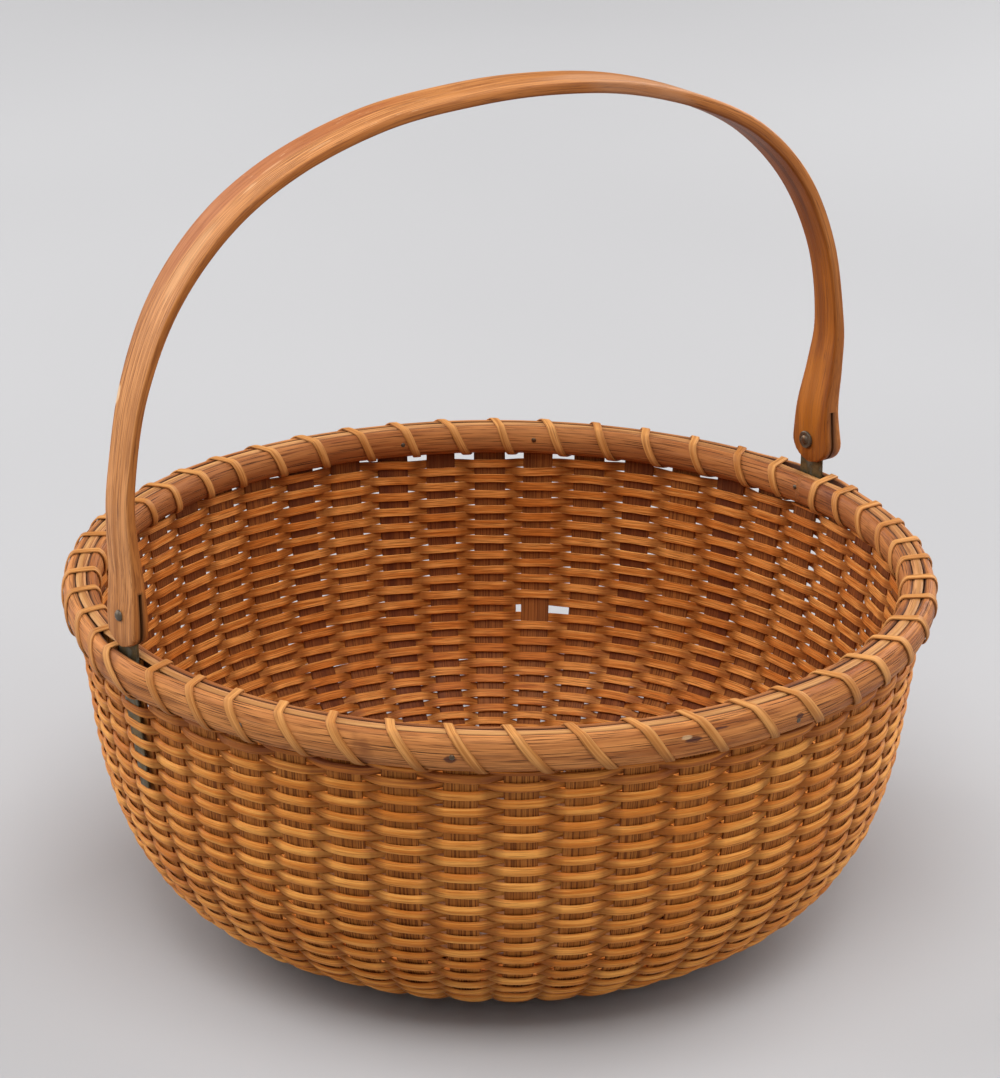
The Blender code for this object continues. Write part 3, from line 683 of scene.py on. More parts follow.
def handle_material():
    """Bent oak: pale worn outer face, amber inner face, long pores, and rubbed spots."""
    made, tree, shader = new_material("handle_oak")
    tone, painted_shade_and_dirt, reddening = finish_of(tree)
    pores = grained(tree, 0.012, 0.00030, detail=2.0)
    grain = grained(tree, 0.045, 0.00075, detail=3.0, shift=3.0)
    broad = grained(tree, 0.11, 0.0035, detail=2.0, shift=8.0)
    cloud = patchy(tree, 0.045, detail=3.0, shift=4.0)
    outer = mixed(tree, spread(tree, broad, 0.3, 0.7), (0.46, 0.174, 0.046), (0.65, 0.285, 0.102))
    inner = mixed(tree, spread(tree, broad, 0.3, 0.7), (0.24, 0.063, 0.008), (0.42, 0.132, 0.020))
    colour = mixed(tree, tone, inner, outer)
    colour = mixed(tree, spread(tree, grain, 0.52, 0.36, 0.0, 0.55), colour, (0.26, 0.085, 0.024))
    fine = grained(tree, 0.030, 0.00042, detail=2.0, shift=6.0)
    colour = mixed(tree, spread(tree, fine, 0.50, 0.36, 0.0, 0.6), colour, (0.20, 0.060, 0.016))
    colour = mixed(tree, spread(tree, pores, 0.40, 0.30, 0.0, 0.7), colour, (0.12, 0.034, 0.011))
    colour = mixed(tree, spread(tree, cloud, 0.55, 0.75, 0.0, 0.35), colour, (0.30, 0.105, 0.030))
    for share, across, half_run, half_width, strength, shade_here in HANDLE_MARKS:
        mask = spot(tree, (HANDLE_LENGTH * share, across), (half_run, half_width), shift=share)
        colour = mixed(tree, calculate(tree, "MULTIPLY", mask, strength), colour, shade_here)
    flecks = calculate(tree, "MULTIPLY", reddening, spread(tree, grained(tree, 0.005, 0.0011), 0.64, 0.76))
    colour = mixed(tree, calculate(tree, "MULTIPLY", flecks, 0.6), colour, (0.74, 0.47, 0.26))
    # Painted shade in the slits.
    colour = mixed(tree, painted_shade_and_dirt, colour, (0.07, 0.028, 0.012))
    height = calculate(tree, "SUBTRACT", grain, spread(tree, pores, 0.42, 0.30, 0.0, 0.8))
    shade(tree, shader, colour, spread(tree, cloud, 0.3, 0.7, 0.38, 0.52), height, 0.00016)
    shader.inputs["Specular IOR Level"].default_value = WOOD_SHINE
    return made


def base_material():
    """Turned oak board with its grain straight across, darker in the turned rings and at the rims of its faces."""
    made, tree, shader = new_material("base_oak")
    _, painted_shade_and_dirt, _ = finish_of(tree)
    grain = grained(tree, 0.060, 0.0011, detail=4.0)
    pores = grained(tree, 0.014, 0.00035, detail=2.0, shift=5.0)
    broad = grained(tree, 0.12, 0.012, shift=2.0)
    colour = mixed(tree, spread(tree, broad, 0.3, 0.7), (0.17, 0.056, 0.014), (0.29, 0.110, 0.032))
    colour = mixed(tree, spread(tree, grain, 0.54, 0.36, 0.0, 0.6), colour, (0.09, 0.028, 0.009))
    colour = mixed(tree, spread(tree, pores, 0.40, 0.30, 0.0, 0.6), colour, (0.09, 0.028, 0.010))
    colour = mixed(tree, painted_shade_and_dirt, colour, (0.07, 0.025, 0.010))
    shade(tree, shader, colour, spread(tree, broad, 0.3, 0.7, 0.42, 0.55), grain, 0.00020)
    return made


def metal_material(name, dark, light, patina, share, roughness):
    """Old copper alloy: dull metal under a crust of patina."""
    made, tree, shader = new_material(name)
    _, painted_shade_and_dirt, _ = finish_of(tree)
    cloud = patchy(tree, 0.0035, detail=4.0)
    grit = patchy(tree, 0.0007, detail=3.0, shift=3.0)
    colour = mixed(tree, spread(tree, cloud, 0.35, 0.65), dark, light)
    crust = spread(tree, cloud, 0.62 - share, 0.42 - share)
    colour = mixed(tree, crust, colour, patina)
    colour = mixed(tree, spread(tree, grit, 0.45, 0.30, 0.0, 0.6), colour, dark)
    colour = mixed(tree, painted_shade_and_dirt, colour, (0.02, 0.012, 0.008))
    metal = calculate(tree, "SUBTRACT", 0.9, calculate(tree, "MULTIPLY", crust, 0.6), clamp=True)
    tree.links.new(metal, shader.inputs["Metallic"])
    rough = spread(tree, grit, 0.3, 0.7, roughness, roughness + 0.2)
    shade(tree, shader, colour, rough, grit, 0.00008)
    return made


def make_materials():
    return {
        "weave_cane": fibre_material(
            "weave_cane", (0.17, 0.043, 0.007), (0.58, 0.180, 0.0245), (0.86, 0.385, 0.086), 0.010, 0.00026, 0.46
        ),
        "lashing_cane": fibre_material(
            "lashing_cane", (0.17, 0.050, 0.011), (0.42, 0.155, 0.036), (0.66, 0.31, 0.095), 0.012, 0.00030, 0.46
        ),
        "pale_cane": fibre_material(
            "pale_cane", (0.17, 0.060, 0.018), (0.38, 0.162, 0.048), (0.58, 0.290, 0.105), 0.014, 0.00030, 0.48
        ),
        "stave_oak": stave_material(),
        "rim_wood": rim_material(),
        "handle_oak": handle_material(),
        "base_oak": base_material(),
        "aged_brass": metal_material(
            "aged_brass", (0.055, 0.038, 0.017), (0.19, 0.135, 0.060), (0.125, 0.112, 0.074), 0.06, 0.42
        ),
        "dark_bronze": metal_material(
            "dark_bronze", (0.045, 0.026, 0.014), (0.17, 0.10, 0.055), (0.10, 0.075, 0.05), 0.0, 0.32
        ),
    }


def place_piece(obj, slot, body, materials, *nodes):
    """Give a piece its finish, its slot and the body that it rides on."""
    obj.data.materials.clear()
    obj.data.materials.append(materials[slot])
    if nodes:
        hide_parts(*nodes)
    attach(obj, body)


# Weave

CANE_OUTLINE = (
    (-0.50, -0.36),
    (-0.44, -0.50),
    (0.44, -0.50),
    (0.50, -0.36),
    (0.48, 0.02),
    (0.34, 0.38),
    (0.0, 0.50),
    (-0.34, 0.38),
    (-0.48, 0.02),
)

# Where the cane is broken away on the inside of a stave, as stave and row, and how far on either side.
BREAKS = ((6, 31),)
BREAK_BEFORE = 0.85
BREAK_AFTER = 0.42

WEAVE_TOP_RUN = run_at_height(WEAVE_TOP)
TURNS = (WEAVE_TOP_RUN - FIRST_ROW) / ROW_PITCH
MEAN_PITCH_SHARE = 1 - (1 - LOWEST_PITCH_SHARE) * FINE_ROWS_SHARE / 2
BACK_ANGLE = math.radians(53.6)


def row_share(turn):
    """Share of the way up the wall that the cane has reached."""
    share = np.asarray(turn) / (STAVE_COUNT * TURNS)
    fine = np.minimum(share, FINE_ROWS_SHARE)
    reached = LOWEST_PITCH_SHARE * fine + (1 - LOWEST_PITCH_SHARE) * fine**2 / (2 * FINE_ROWS_SHARE)
    return (reached + share - fine) / MEAN_PITCH_SHARE


def row_size(turn):
    """Size of the cane here as a share of its mean size: it is finer near the base."""
    fine = np.minimum(np.asarray(turn) / (STAVE_COUNT * TURNS) / FINE_ROWS_SHARE, 1.0)
    return (LOWEST_PITCH_SHARE + (1 - LOWEST_PITCH_SHARE) * fine) / MEAN_PITCH_SHARE


def cane_path(turn):
    """Middle line of the cane where it has gone round this many staves, and the way out of the wall there."""
    angle = wall_angle(turn)
    run = FIRST_ROW + (WEAVE_TOP_RUN - FIRST_ROW) * row_share(turn)
    squeeze = row_width(turn)
    run = np.minimum(run, WEAVE_TOP_RUN + ROW_PITCH / 2 * (1 - squeeze))
    height_part = run / WEAVE_TOP_RUN
    away = np.abs((turn - SLIP_MIDDLE + STAVE_COUNT / 2) % STAVE_COUNT - STAVE_COUNT / 2)
    drop = BACK_DROP * (0.5 + 0.5 * np.cos(angle - BACK_ANGLE)) + SLIP_DROP * ease(SLIP_REACH, 1.0, away)
    run = run - drop * height_part**3
    run = run + 0.00016 * waver(turn, 3.1, 5) + 0.00020 * waver(turn, 17.0, 6)
    place, way, out = bowl_at(run)
    wave = np.cos(math.pi * turn)
    outside = SWING_OUTSIDE * np.tanh(BEND_OUTSIDE * wave) / math.tanh(BEND_OUTSIDE)
    inside = SWING_INSIDE * np.tanh(BEND_INSIDE * wave) / math.tanh(BEND_INSIDE)
    swing = np.where(wave > 0, outside * (1 + 0.08 * waver(turn, 2.6, 8)), inside)
    swing = swing * (SWING_AT_BASE_SHARE + (1 - SWING_AT_BASE_SHARE) * ease(0.0, 0.35, height_part))
    tail = ease(EAR_TAIL_END - 0.004, EAR_TAIL_END + 0.004, place[:, 1])
    tail = tail * (1 - ease(0.30, 0.72, np.abs(ear_swing(turn)))) * (wave > 0)
    offset = swing + (EAR_SHEET + CLEARANCE) * tail
    centre = upright(angle, place + out * offset[:, None])
    return centre, upright(angle, way), upright(angle, out), wave, angle, height_part


def row_width(turn):
    """Share of the full width: the last row thins out, where it is pushed up under the rim."""
    over = np.asarray(turn) / STAVE_COUNT - TURNS
    return np.clip(1 - over, LAST_WIDTH_SHARE, 1.0)


def add_cane(shape, start, end, tone, seed):
    """One length of cane from one turn to another, thinned at both ends where it laps the next."""
    count = max(int(round((end - start) * STEPS_PER_STAVE)) + 1, 3)
    turn = np.linspace(start, end, count)
    centre, up, out, wave, angle, height_part = cane_path(turn)
    run = lengths(centre)
    along = unit(np.gradient(centre, axis=0))
    side = unit(up - along * np.sum(up * along, axis=1, keepdims=True))
    depth = np.cross(along, side)
    depth *= np.sign(np.sum(depth * out, axis=1, keepdims=True))
    thin = 0.45 + 0.55 * ease(0.0, 0.6, np.minimum(turn - start, end - turn))
    between = 1 - np.abs(wave)
    width = CANE_WIDTH * row_size(turn) * row_width(turn)
    width = width * (1 + 0.02 * waver(turn, 5.0, seed) + GAP_WIDENING * between)
    thickness = CANE_THICKNESS * thin * (1 + GAP_THICKENING * between)
    rings = swept(centre, side, depth, CANE_OUTLINE, width, thickness)
    straight = straightened(run + seed, CANE_OUTLINE, width, CANE_THICKNESS)
    # Painted shade: the cane is darkened where it dives past a stave's edge, for the shade in the crossings.
    deep = ease(0.75, 0.15, np.abs(wave))
    front = ease(-0.2, 0.5, np.cos(angle - BACK_ANGLE - math.pi))
    worn = ease(0.945, 0.975, height_part) * front * (0.65 + 0.35 * waver(turn, 9.0, 3))
    finish = np.zeros(rings.shape)
    finish[..., 0] = (tone + 0.38 * waver(turn, 14.0, seed + 1) + 0.32 * waver(turn, 2.3, seed + 2))[:, None]
    finish[..., 1] = (0.75 * deep)[:, None]
    finish[..., 2] = np.clip(worn, 0.0, 0.85)[:, None]
    shape.add_rings(rings, straight, finish)


def build_weave(materials):
    """The weave, as lengths of cane that follow on from each other."""
    total = STAVE_COUNT * (TURNS + 1 - LAST_WIDTH_SHARE)
    gaps = sorted(STAVE_COUNT * row + stave for stave, row in BREAKS)
    for index in range(CANE_COUNT):
        start = 2 * round(total * index / CANE_COUNT / 2) + 1.0
        end = 2 * round(total * (index + 1) / CANE_COUNT / 2) + 1.35
        tone = rng.uniform(-0.35, 0.35)
        shape = Mesh()
        for gap in gaps:
            if start < gap - 1 and gap + 1 < end:
                add_cane(shape, start, gap - BREAK_BEFORE, tone, 10 * index + 7)
                start = gap + BREAK_AFTER
        add_cane(shape, start, end, tone, 10 * index + 3)
        obj = shape.build(f"cane_{index + 1:02d}", sharp=38)
        place_piece(obj, "weave_cane", "basket", materials, "weave")


# Staves

STAVE_OUTLINE = (
    (-0.50, -0.36),
    (-0.47, -0.50),
    (0.0, -0.50),
    (0.47, -0.50),
    (0.50, -0.36),
    (0.50, 0.28),
    (0.44, 0.44),
    (0.22, 0.50),
    (-0.22, 0.50),
    (-0.44, 0.44),
    (-0.50, 0.28),
)


def build_staves(materials):
    foot = np.array([(BASE_RADIUS - GROOVE_DEPTH + 2 * CLEARANCE, GROOVE_LEVEL)])
    line = np.vstack([foot, resampled(BOWL, 64)])
    run = lengths(line)
    way = unit(np.gradient(line, axis=0))
    way[0] = (1, 0)
    out = np.stack([way[:, 1], -way[:, 0]], axis=1)
    height_part = run / run[-1]
    thickness = STAVE_FOOT_THICKNESS + (STAVE_THICKNESS - STAVE_FOOT_THICKNESS) * ease(0.1, 0.55, height_part)
    for index in range(STAVE_COUNT):
        angle = np.full(len(line), wall_angle(index))
        side = along_wall(angle)
        sway = 0.0003 * waver(run, 0.11, 100 + index) * ease(0.05, 0.2, height_part) * ease(0.97, 0.85, height_part)
        centre = upright(angle, line) + side * sway[:, None]
        width = stave_width(line[:, 0]) * rng.uniform(0.96, 1.04) * (1 + 0.02 * waver(run, 0.05, 200 + index))
        depth = upright(angle, out)
        rings = swept(centre, side, depth, STAVE_OUTLINE, width, thickness)
        straight = straightened(run + index * 0.37, STAVE_OUTLINE, width, thickness)
        straight = straight + np.array([0.0, index * 0.0213, 0.0])
        finish = np.zeros(rings.shape)
        finish[..., 0] = rng.uniform(0.0, 1.0)
        # The stave is darker along both edges.
        finish[..., 1] = 0.25 * (np.abs(np.array(STAVE_OUTLINE)[:, 0]) > 0.45)
        shape = Mesh()
        shape.add_rings(rings, straight, finish)
        name = f"fine_stave_{index + 1:02d}"
        place_piece(shape.build(name), "stave_oak", "basket", materials, f"stave_{index + 1:02d}")


# Rim

def outer_hoop_outline():
    height = RIM_TOP - OUTER_RIM_BOTTOM
    return np.array(
        [(OUTER_RIM_INSIDE + OUTER_RIM_THICKNESS * x, OUTER_RIM_BOTTOM + height * z) for x, z in HOOP_SHARES]
    )


def inner_hoop_outline():
    height = RIM_TOP - INNER_RIM_BOTTOM
    return np.array(
        [(INNER_RIM_OUTSIDE - INNER_RIM_THICKNESS * x, INNER_RIM_BOTTOM + height * z) for x, z in HOOP_SHARES]
    )


def filler_outline():
    half = FILLER_WIDTH / 2
    top = RIM_TOP + FILLER_RISE
    low = RIM_TOP - FILLER_THICKNESS
    return np.array(
        [
            (BOWL_RADIUS - half * 0.45, low),
            (BOWL_RADIUS + half * 0.45, low),
            (BOWL_RADIUS + half, top - 0.00042),
            (BOWL_RADIUS + half * 0.86, top - 0.00018),
            (BOWL_RADIUS + half * 0.45, top),
            (BOWL_RADIUS - half * 0.45, top),
            (BOWL_RADIUS - half * 0.86, top - 0.00018),
            (BOWL_RADIUS - half, top - 0.00042),
        ]
    )


def build_hoop(name, slot, outline, offset_at, materials, node_name, seed, reddening=0.0, painted_shade_rows=()):
    """A strip bent once round the rim and closed."""
    turn = np.linspace(0, STAVE_COUNT, STAVE_COUNT * HOOP_STEPS_PER_STAVE, endpoint=False)
    angle = EAR_TURN + PITCH * turn
    wobble = 0.00012 * np.sin(angle * 7 + seed) + 0.0001 * np.sin(angle * 17 + 2 * seed)
    flat = outline[None] + (offset_at(turn) + wobble)[:, None, None] * np.array([1.0, 0.0])
    rings = upright(angle[:, None], flat)
    middle = outline.mean(axis=0)
    straight = np.zeros(rings.shape)
    straight[..., 0] = (angle * BOWL_RADIUS)[:, None] + seed
    straight[..., 1] = (outline[:, 1] - middle[1])[None]
    straight[..., 2] = (outline[:, 0] - middle[0])[None]
    finish = np.zeros(rings.shape)
    finish[..., 0] = (0.35 + 0.35 * waver(angle, 1.7, seed + 3))[:, None].clip(0, 1)
    finish[..., 2] = (reddening * (1 + 0.6 * waver(angle, 1.1, seed + 5)))[:, None].clip(0, 1)
    # Painted shade on these rows of the outline.
    for index, share in painted_shade_rows:
        finish[:, index, 1] = share
    shape = Mesh()
    shape.add_rings(rings, straight, finish, closed=True)
    place_piece(shape.build(name), slot, "basket", materials, node_name)


def lashing_route():
    """One turn of the lashing in the upright plane: share of the turn, place, way out, and outside or not."""
    outer = outer_hoop_outline()[3:10]
    inner = inner_hoop_outline()[3:10]
    below_outer = np.array([OUTER_RIM_INSIDE + OUTER_RIM_THICKNESS * 0.42, OUTER_RIM_BOTTOM])
    below_inner = np.array([INNER_RIM_OUTSIDE - INNER_RIM_THICKNESS * 0.42, INNER_RIM_BOTTOM])
    corners = np.array([*inner, *outer[::-1], below_outer, below_inner])
    run = lengths(corners)
    stops = [0, len(inner) - 1, len(inner), len(corners) - 3, len(corners) - 2, len(corners) - 1]
    shares = np.interp(run, run[stops], LASHING_SHARES)
    way = np.roll(corners, -1, axis=0) - np.roll(corners, 1, axis=0)
    normal = unit(np.stack([-way[:, 1], way[:, 0]], axis=1))
    outside = np.array([0.0] * len(inner) + [1.0] * (len(outer) + 1) + [0.0])
    return shares, corners, normal, outside


def build_lashing(materials):
    """One strip wound round both hoops, once to each gap between staves."""
    shares, corners, normal, outside = lashing_route()
    lift = LASHING_THICKNESS / 2 + 0.00016
    index = np.repeat(np.arange(STAVE_COUNT), len(shares))
    turn = index + np.tile(shares, STAVE_COUNT) + 0.5
    slant = 0.05 * waver(turn, 2.7, 31)
    turn_here = turn + slant - ear_dodge(turn)
    angle = wall_angle(turn_here)
    flat = np.tile(corners + normal * lift, (STAVE_COUNT, 1))
    flat[:, 0] += ear_spread(turn_here) * np.tile(outside, STAVE_COUNT)
    centre = upright(angle, flat)
    out = upright(angle, np.tile(normal, (STAVE_COUNT, 1)))
    centre, out = smoothed_strip(centre, out, 4)
    for _ in range(LASHING_ROUNDING):
        centre[1:-1] = (centre[:-2] + 2 * centre[1:-1] + centre[2:]) / 4
        out[1:-1] = unit(out[:-2] + 2 * out[1:-1] + out[2:])
    along = unit(np.gradient(centre, axis=0))
    out = unit(out - along * np.sum(out * along, axis=1, keepdims=True))
    side = np.cross(out, along)
    run = lengths(centre)
    width = LASHING_WIDTH * (1 + 0.05 * waver(run, 0.04, 71))
    rings = swept(centre, side, out, STRIP_OUTLINE, width, LASHING_THICKNESS)
    straight = straightened(run, STRIP_OUTLINE, width, LASHING_THICKNESS)
    finish = np.zeros(rings.shape)
    finish[..., 0] = (0.15 + 0.3 * waver(run, 0.12, 41))[:, None]
    # Painted shade: the lashing darkens down the lower half of the hoops and under them, and along both edges of
    # the strip.
    finish[..., 1] = 0.45 * ease(RIM_TOP - 0.006, OUTER_RIM_BOTTOM, centre[:, 2])[:, None]
    finish[..., 1] += 0.3 * (np.abs(np.array(STRIP_OUTLINE)[:, 0]) > 0.45)
    shape = Mesh()
    shape.add_rings(rings, straight, finish)
    place_piece(shape.build("fine_lashing", sharp=38), "lashing_cane", "basket", materials, "lashing")


def ear_dodge(turn):
    """How far a turn of the lashing leans back to miss an ear."""
    room = (EAR_WIDTH / 2 + LASHING_WIDTH / 2 + 2 * CLEARANCE) / (BOWL_RADIUS * PITCH)
    share = (turn - 0.5) % 1.0
    crossing = turn - share + LASHING_TOP_SHARE
    swing = ear_swing(crossing)
    need = np.where(np.abs(swing) < room, room + swing, 0.0)
    return need * ease(0.0, LASHING_TOP_SHARE - 0.04, share) * ease(1.0, LASHING_TOP_SHARE + 0.06, share)


def smoothed_strip(centre, out, factor):
    """More points along a strip, on a smooth curve through the given ones."""
    count = len(centre)
    places = np.linspace(0, count - 1, (count - 1) * factor + 1)
    index = np.minimum(places.astype(int), count - 2)
    part = (places - index)[:, None]
    padded = np.vstack([centre[:1], centre, centre[-1:]])
    before, start, end, after = (padded[index + shift] for shift in range(4))
    bend = 2 * before - 5 * start + 4 * end - after
    turn = 3 * start - before - 3 * end + after
    line = start + (end - before) * part / 2 + bend * part**2 / 2 + turn * part**3 / 2
    ways = out[index] * (1 - part) + out[index + 1] * part
    return line, unit(ways)


STRIP_OUTLINE = (
    (-0.50, -0.35),
    (-0.46, -0.50),
    (0.46, -0.50),
    (0.50, -0.35),
    (0.49, 0.20),
    (0.38, 0.44),
    (0.0, 0.50),
    (-0.38, 0.44),
    (-0.49, 0.20),
)


def build_rim(materials):
    # Painted shade in the crease where each hoop's top edge meets the filler strip, and along the filler's sides
    # and underside.
    crease_shade_rows = tuple((index, 0.95) for index in (10, 11, 12))
    build_hoop(
        "outer_hoop", "rim_wood", outer_hoop_outline(), ear_spread, materials, "outer_rim", OUTER_HOOP_SEED,
        painted_shade_rows=crease_shade_rows,
    )
    build_hoop(
        "inner_hoop", "rim_wood", inner_hoop_outline(), lambda turn: turn * 0, materials, "inner_rim",
        INNER_HOOP_SEED, reddening=0.42, painted_shade_rows=crease_shade_rows,
    )
    build_hoop(
        "filler_strip", "pale_cane", filler_outline(), filler_offset, materials, "rim_filler", FILLER_SEED,
        painted_shade_rows=((0, 0.95), (1, 0.95), (2, 0.6), (7, 0.6)),
    )
    build_lashing(materials)


def filler_offset(turn):
    """The strip passes inside the ears."""
    return -FILLER_DODGE * (1 - ease(0.40, 1.1, np.abs(ear_swing(turn))))


# Ears, handle and rivets

def build_ears(materials):
    slope = (BOWL[-1, 0] - np.interp(EAR_TAIL_END, BOWL[:, 1], BOWL[:, 0])) / (OUTER_RIM_BOTTOM - EAR_TAIL_END)
    drop = OUTER_RIM_BOTTOM - EAR_TAIL_END
    heights = [
        *np.linspace(EAR_TAIL_END, OUTER_RIM_BOTTOM, 14),
        *np.linspace(OUTER_RIM_BOTTOM, PIVOT.z, 10)[1:],
        *(PIVOT.z + EAR_WIDTH / 2 * np.sin(np.linspace(0, 1.5, 12)[1:])),
    ]
    heights = np.array(heights)
    width = np.interp(
        heights,
        [EAR_TAIL_END, OUTER_RIM_BOTTOM, (OUTER_RIM_BOTTOM + RIM_TOP) / 2, PIVOT.z],
        [EAR_TAIL_END_WIDTH, EAR_TAIL_WIDTH, EAR_WIDTH, EAR_WIDTH],
    )
    above = np.clip((heights - PIVOT.z) / (EAR_WIDTH / 2), 0.0, 0.9999)
    width = width * np.sqrt(1 - above**2)
    tip = ease(0.0, 0.0015, heights - EAR_TAIL_END)
    width = width * (0.6 + 0.4 * tip)
    reach = HALF_SPAN - slope * np.clip(OUTER_RIM_BOTTOM - heights, 0.0, drop)
    for side, end, seed in (("right", 1, 0.0), ("left", -1, 0.3)):
        half = width[:, None] / 2
        edge = np.minimum(EAR_EDGE, half / 3)
        thick = EAR_SHEET / 2
        across = np.concatenate(
            [-half, -half, -half + edge, half - edge, half, half, half - edge, -half + edge], axis=1
        )
        inset = np.array([-thick + EAR_EDGE, thick - EAR_EDGE, thick, thick, thick - EAR_EDGE, -thick + EAR_EDGE])
        deep = np.array([inset[0], inset[1], thick, thick, inset[4], inset[5], -thick, -thick])
        rings = np.zeros((len(heights), 8, 3))
        rings[..., 0] = (reach[:, None] + deep[None]) * end
        rings[..., 1] = PIVOT.y + across
        rings[..., 2] = heights[:, None]
        straight = rings + np.array([seed, 0, 0])
        finish = np.zeros(rings.shape)
        shape = Mesh()
        shape.add_rings(rings, straight, finish)
        obj = shape.build(f"fine_ear_{side}", sharp=30)
        place_piece(obj, "aged_brass", "basket", materials, f"ear_{side}")


def rounded_outline(width, thickness, radius, steps=5):
    """A rectangle with round corners, as places across and through the stick."""
    points = []
    for corner, (x, y) in enumerate(((1, 1), (-1, 1), (-1, -1), (1, -1))):
        for step in range(steps):
            angle = math.pi / 2 * (corner + step / (steps - 1))
            points.append(
                (
                    x * (width / 2 - radius) + radius * math.cos(angle),
                    y * (thickness / 2 - radius) + radius * math.sin(angle),
                )
            )
    return np.array(points)


def handle_size(share):
    """Width and thickness at shares of the way from the left pivot to the right one."""
    table = smooth_curve(HANDLE_SIZES, 400)
    return np.interp(share, table[:, 0], table[:, 1]), np.interp(share, table[:, 0], table[:, 2])


def handle_stray(share):
    """How far the handle strays outwards and to the far side at shares of the way along it."""
    table = np.array(HANDLE_STRAYS)
    return np.interp(share, table[:, 0], table[:, 1]), np.interp(share, table[:, 0], table[:, 2])


def handle_rings():
    """Rings of the bow from one end to the other."""
    line = handle_line()
    run = lengths(line)
    way = unit(np.gradient(line, axis=0))
    width, thickness = handle_size(run / run[-1])
    outward, aside = handle_stray(run / run[-1])
    stations = []
    for down, wide in LEFT_END[::-1]:
        place = line[0] - np.array([0, LEFT_END_DROP * down])
        stations.append((place, (0.0, 1.0), width[0] * wide, thickness[0], outward[0], aside[0]))
    stations += list(zip(line, way, width, thickness, outward, aside))
    for down, wide in RIGHT_END:
        place = line[-1] - np.array([0, RIGHT_END_DROP * down])
        stations.append((place, (0.0, -1.0), width[-1] * wide, thickness[-1], outward[-1], aside[-1]))
    rings = []
    for place, direction, wide, thick, away, sideways in stations:
        outline = rounded_outline(wide, thick, min(HANDLE_ROUND, wide * 0.45, thick * 0.45))
        out = np.array([-direction[1], direction[0]])
        flat = np.asarray(place)[None] + out[None] * (outline[:, 1:] + away)
        rings.append(np.stack([flat[:, 0], outline[:, 0] + sideways, flat[:, 1]], axis=1))
    return np.array(rings)


def cut_slits(obj):
    """Cut the slit that takes an ear into each paddle."""
    low = PIVOT.z - SLIT_DEPTH
    half = SLIT_WIDTH / 2
    deep = SLIT_DEPTH
    for end, rise in ((1, RIGHT_SLIT_RISE), (-1, LEFT_SLIT_RISE)):
        shape = Mesh()
        high = PIVOT.z + rise
        x = HALF_SPAN * end
        ring = [(x - half, -deep), (x + half, -deep), (x + half, deep), (x - half, deep)]
        rings = np.array([[(a, PIVOT.y + b, z) for a, b in ring] for z in (low, high)])
        shape.add_rings(rings, rings * 0, rings * 0)
        tool = shape.build(f"slit_tool_{end}")
        change = obj.modifiers.new("slit", "BOOLEAN")
        change.operation = "DIFFERENCE"
        change.object = tool
        change.solver = "EXACT"
        bpy.context.view_layer.update()
        result = bpy.data.meshes.new_from_object(obj.evaluated_get(bpy.context.evaluated_depsgraph_get()))
        obj.modifiers.clear()
        obj.data = result
        bpy.data.objects.remove(tool)


def set_handle_finish(obj):
    """Where each point of the handle lay in the straight stick, its wear, and painted shade in the slits."""
    line = handle_line()
    run = lengths(line)
    way = unit(np.gradient(line, axis=0))
    points = np.empty(len(obj.data.vertices) * 3, np.float32)
    obj.data.vertices.foreach_get("co", points)
    points = points.reshape(-1, 3).astype(float)
    flat = points[:, [0, 2]] - np.array([0.0, PIVOT.z])
    nearest = np.argmin(((flat[:, None] - line[None]) ** 2).sum(axis=2), axis=1)
    gap = flat - line[nearest]
    along = np.sum(gap * way[nearest], axis=1)
    out = np.stack([-way[nearest, 1], way[nearest, 0]], axis=1)
    deep = np.sum(gap * out, axis=1)
    straight = np.stack([run[nearest] + along, points[:, 1] - PIVOT.y, deep], axis=1)
    share = (run[nearest] + along) / run[-1]
    thickness = handle_size(share.clip(0.0, 1.0))[1]
    finish = np.zeros(straight.shape)
    rise = (deep - handle_stray(share.clip(0.0, 1.0))[0]) / (thickness / 2)
    finish[:, 0] = np.maximum(ease(0.62, 0.97, rise), 0.35 * ease(-0.95, -0.6, rise))
    # Painted shade: the faces inside the slits are darkened.
    inside = np.abs(np.abs(flat[:, 0]) - HALF_SPAN) < SLIT_WIDTH / 2 + 1e-5
    low = flat[:, 1] < RIGHT_SLIT_RISE + 1e-4
    finish[:, 1] = np.where(inside & low, 0.8, 0.0)
    finish[:, 2] = ease(0.25, 0.33, share) * ease(0.47, 0.38, share) * ease(0.0, 0.002, deep)
    for label, rows in (("straight", straight), ("finish", finish)):
        layer = obj.data.attributes.get(label) or obj.data.attributes.new(label, "FLOAT_VECTOR", "POINT")
        layer.data.foreach_set("vector", rows.astype(np.float32).ravel())


def build_handle(materials):
    rings = handle_rings() + np.array([0.0, PIVOT.y, PIVOT.z])
    shape = Mesh()
    shape.add_rings(rings, rings * 0, rings * 0)
    obj = shape.build("bent_handle")
    cut_slits(obj)
    set_handle_finish(obj)
    obj.data.shade_smooth()
    obj.data.set_sharp_from_angle(angle=math.radians(40))
    place_piece(obj, "handle_oak", "handle", materials, "handle")


def turned(shape, profile, sides, centre, axis, finish=(0.0, 0.0, 0.0)):
    """A solid of revolution, given as radius and height along the axis, closed on the axis at both ends."""
    axis = Vector(axis).normalized()
    first = axis.orthogonal().normalized()
    second = axis.cross(first)
    profile = np.array(profile, float)
    profile[:, 0] = np.maximum(profile[:, 0], 1e-6)
    angle = np.linspace(0, 2 * math.pi, sides, endpoint=False)
    ring = np.cos(angle)[:, None] * np.array(first) + np.sin(angle)[:, None] * np.array(second)
    rings = profile[:, None, :1] * ring[None] + profile[:, None, 1:] * np.array(axis) + np.array(centre)
    shape.add_rings(rings, rings, np.broadcast_to(np.array(finish), rings.shape))


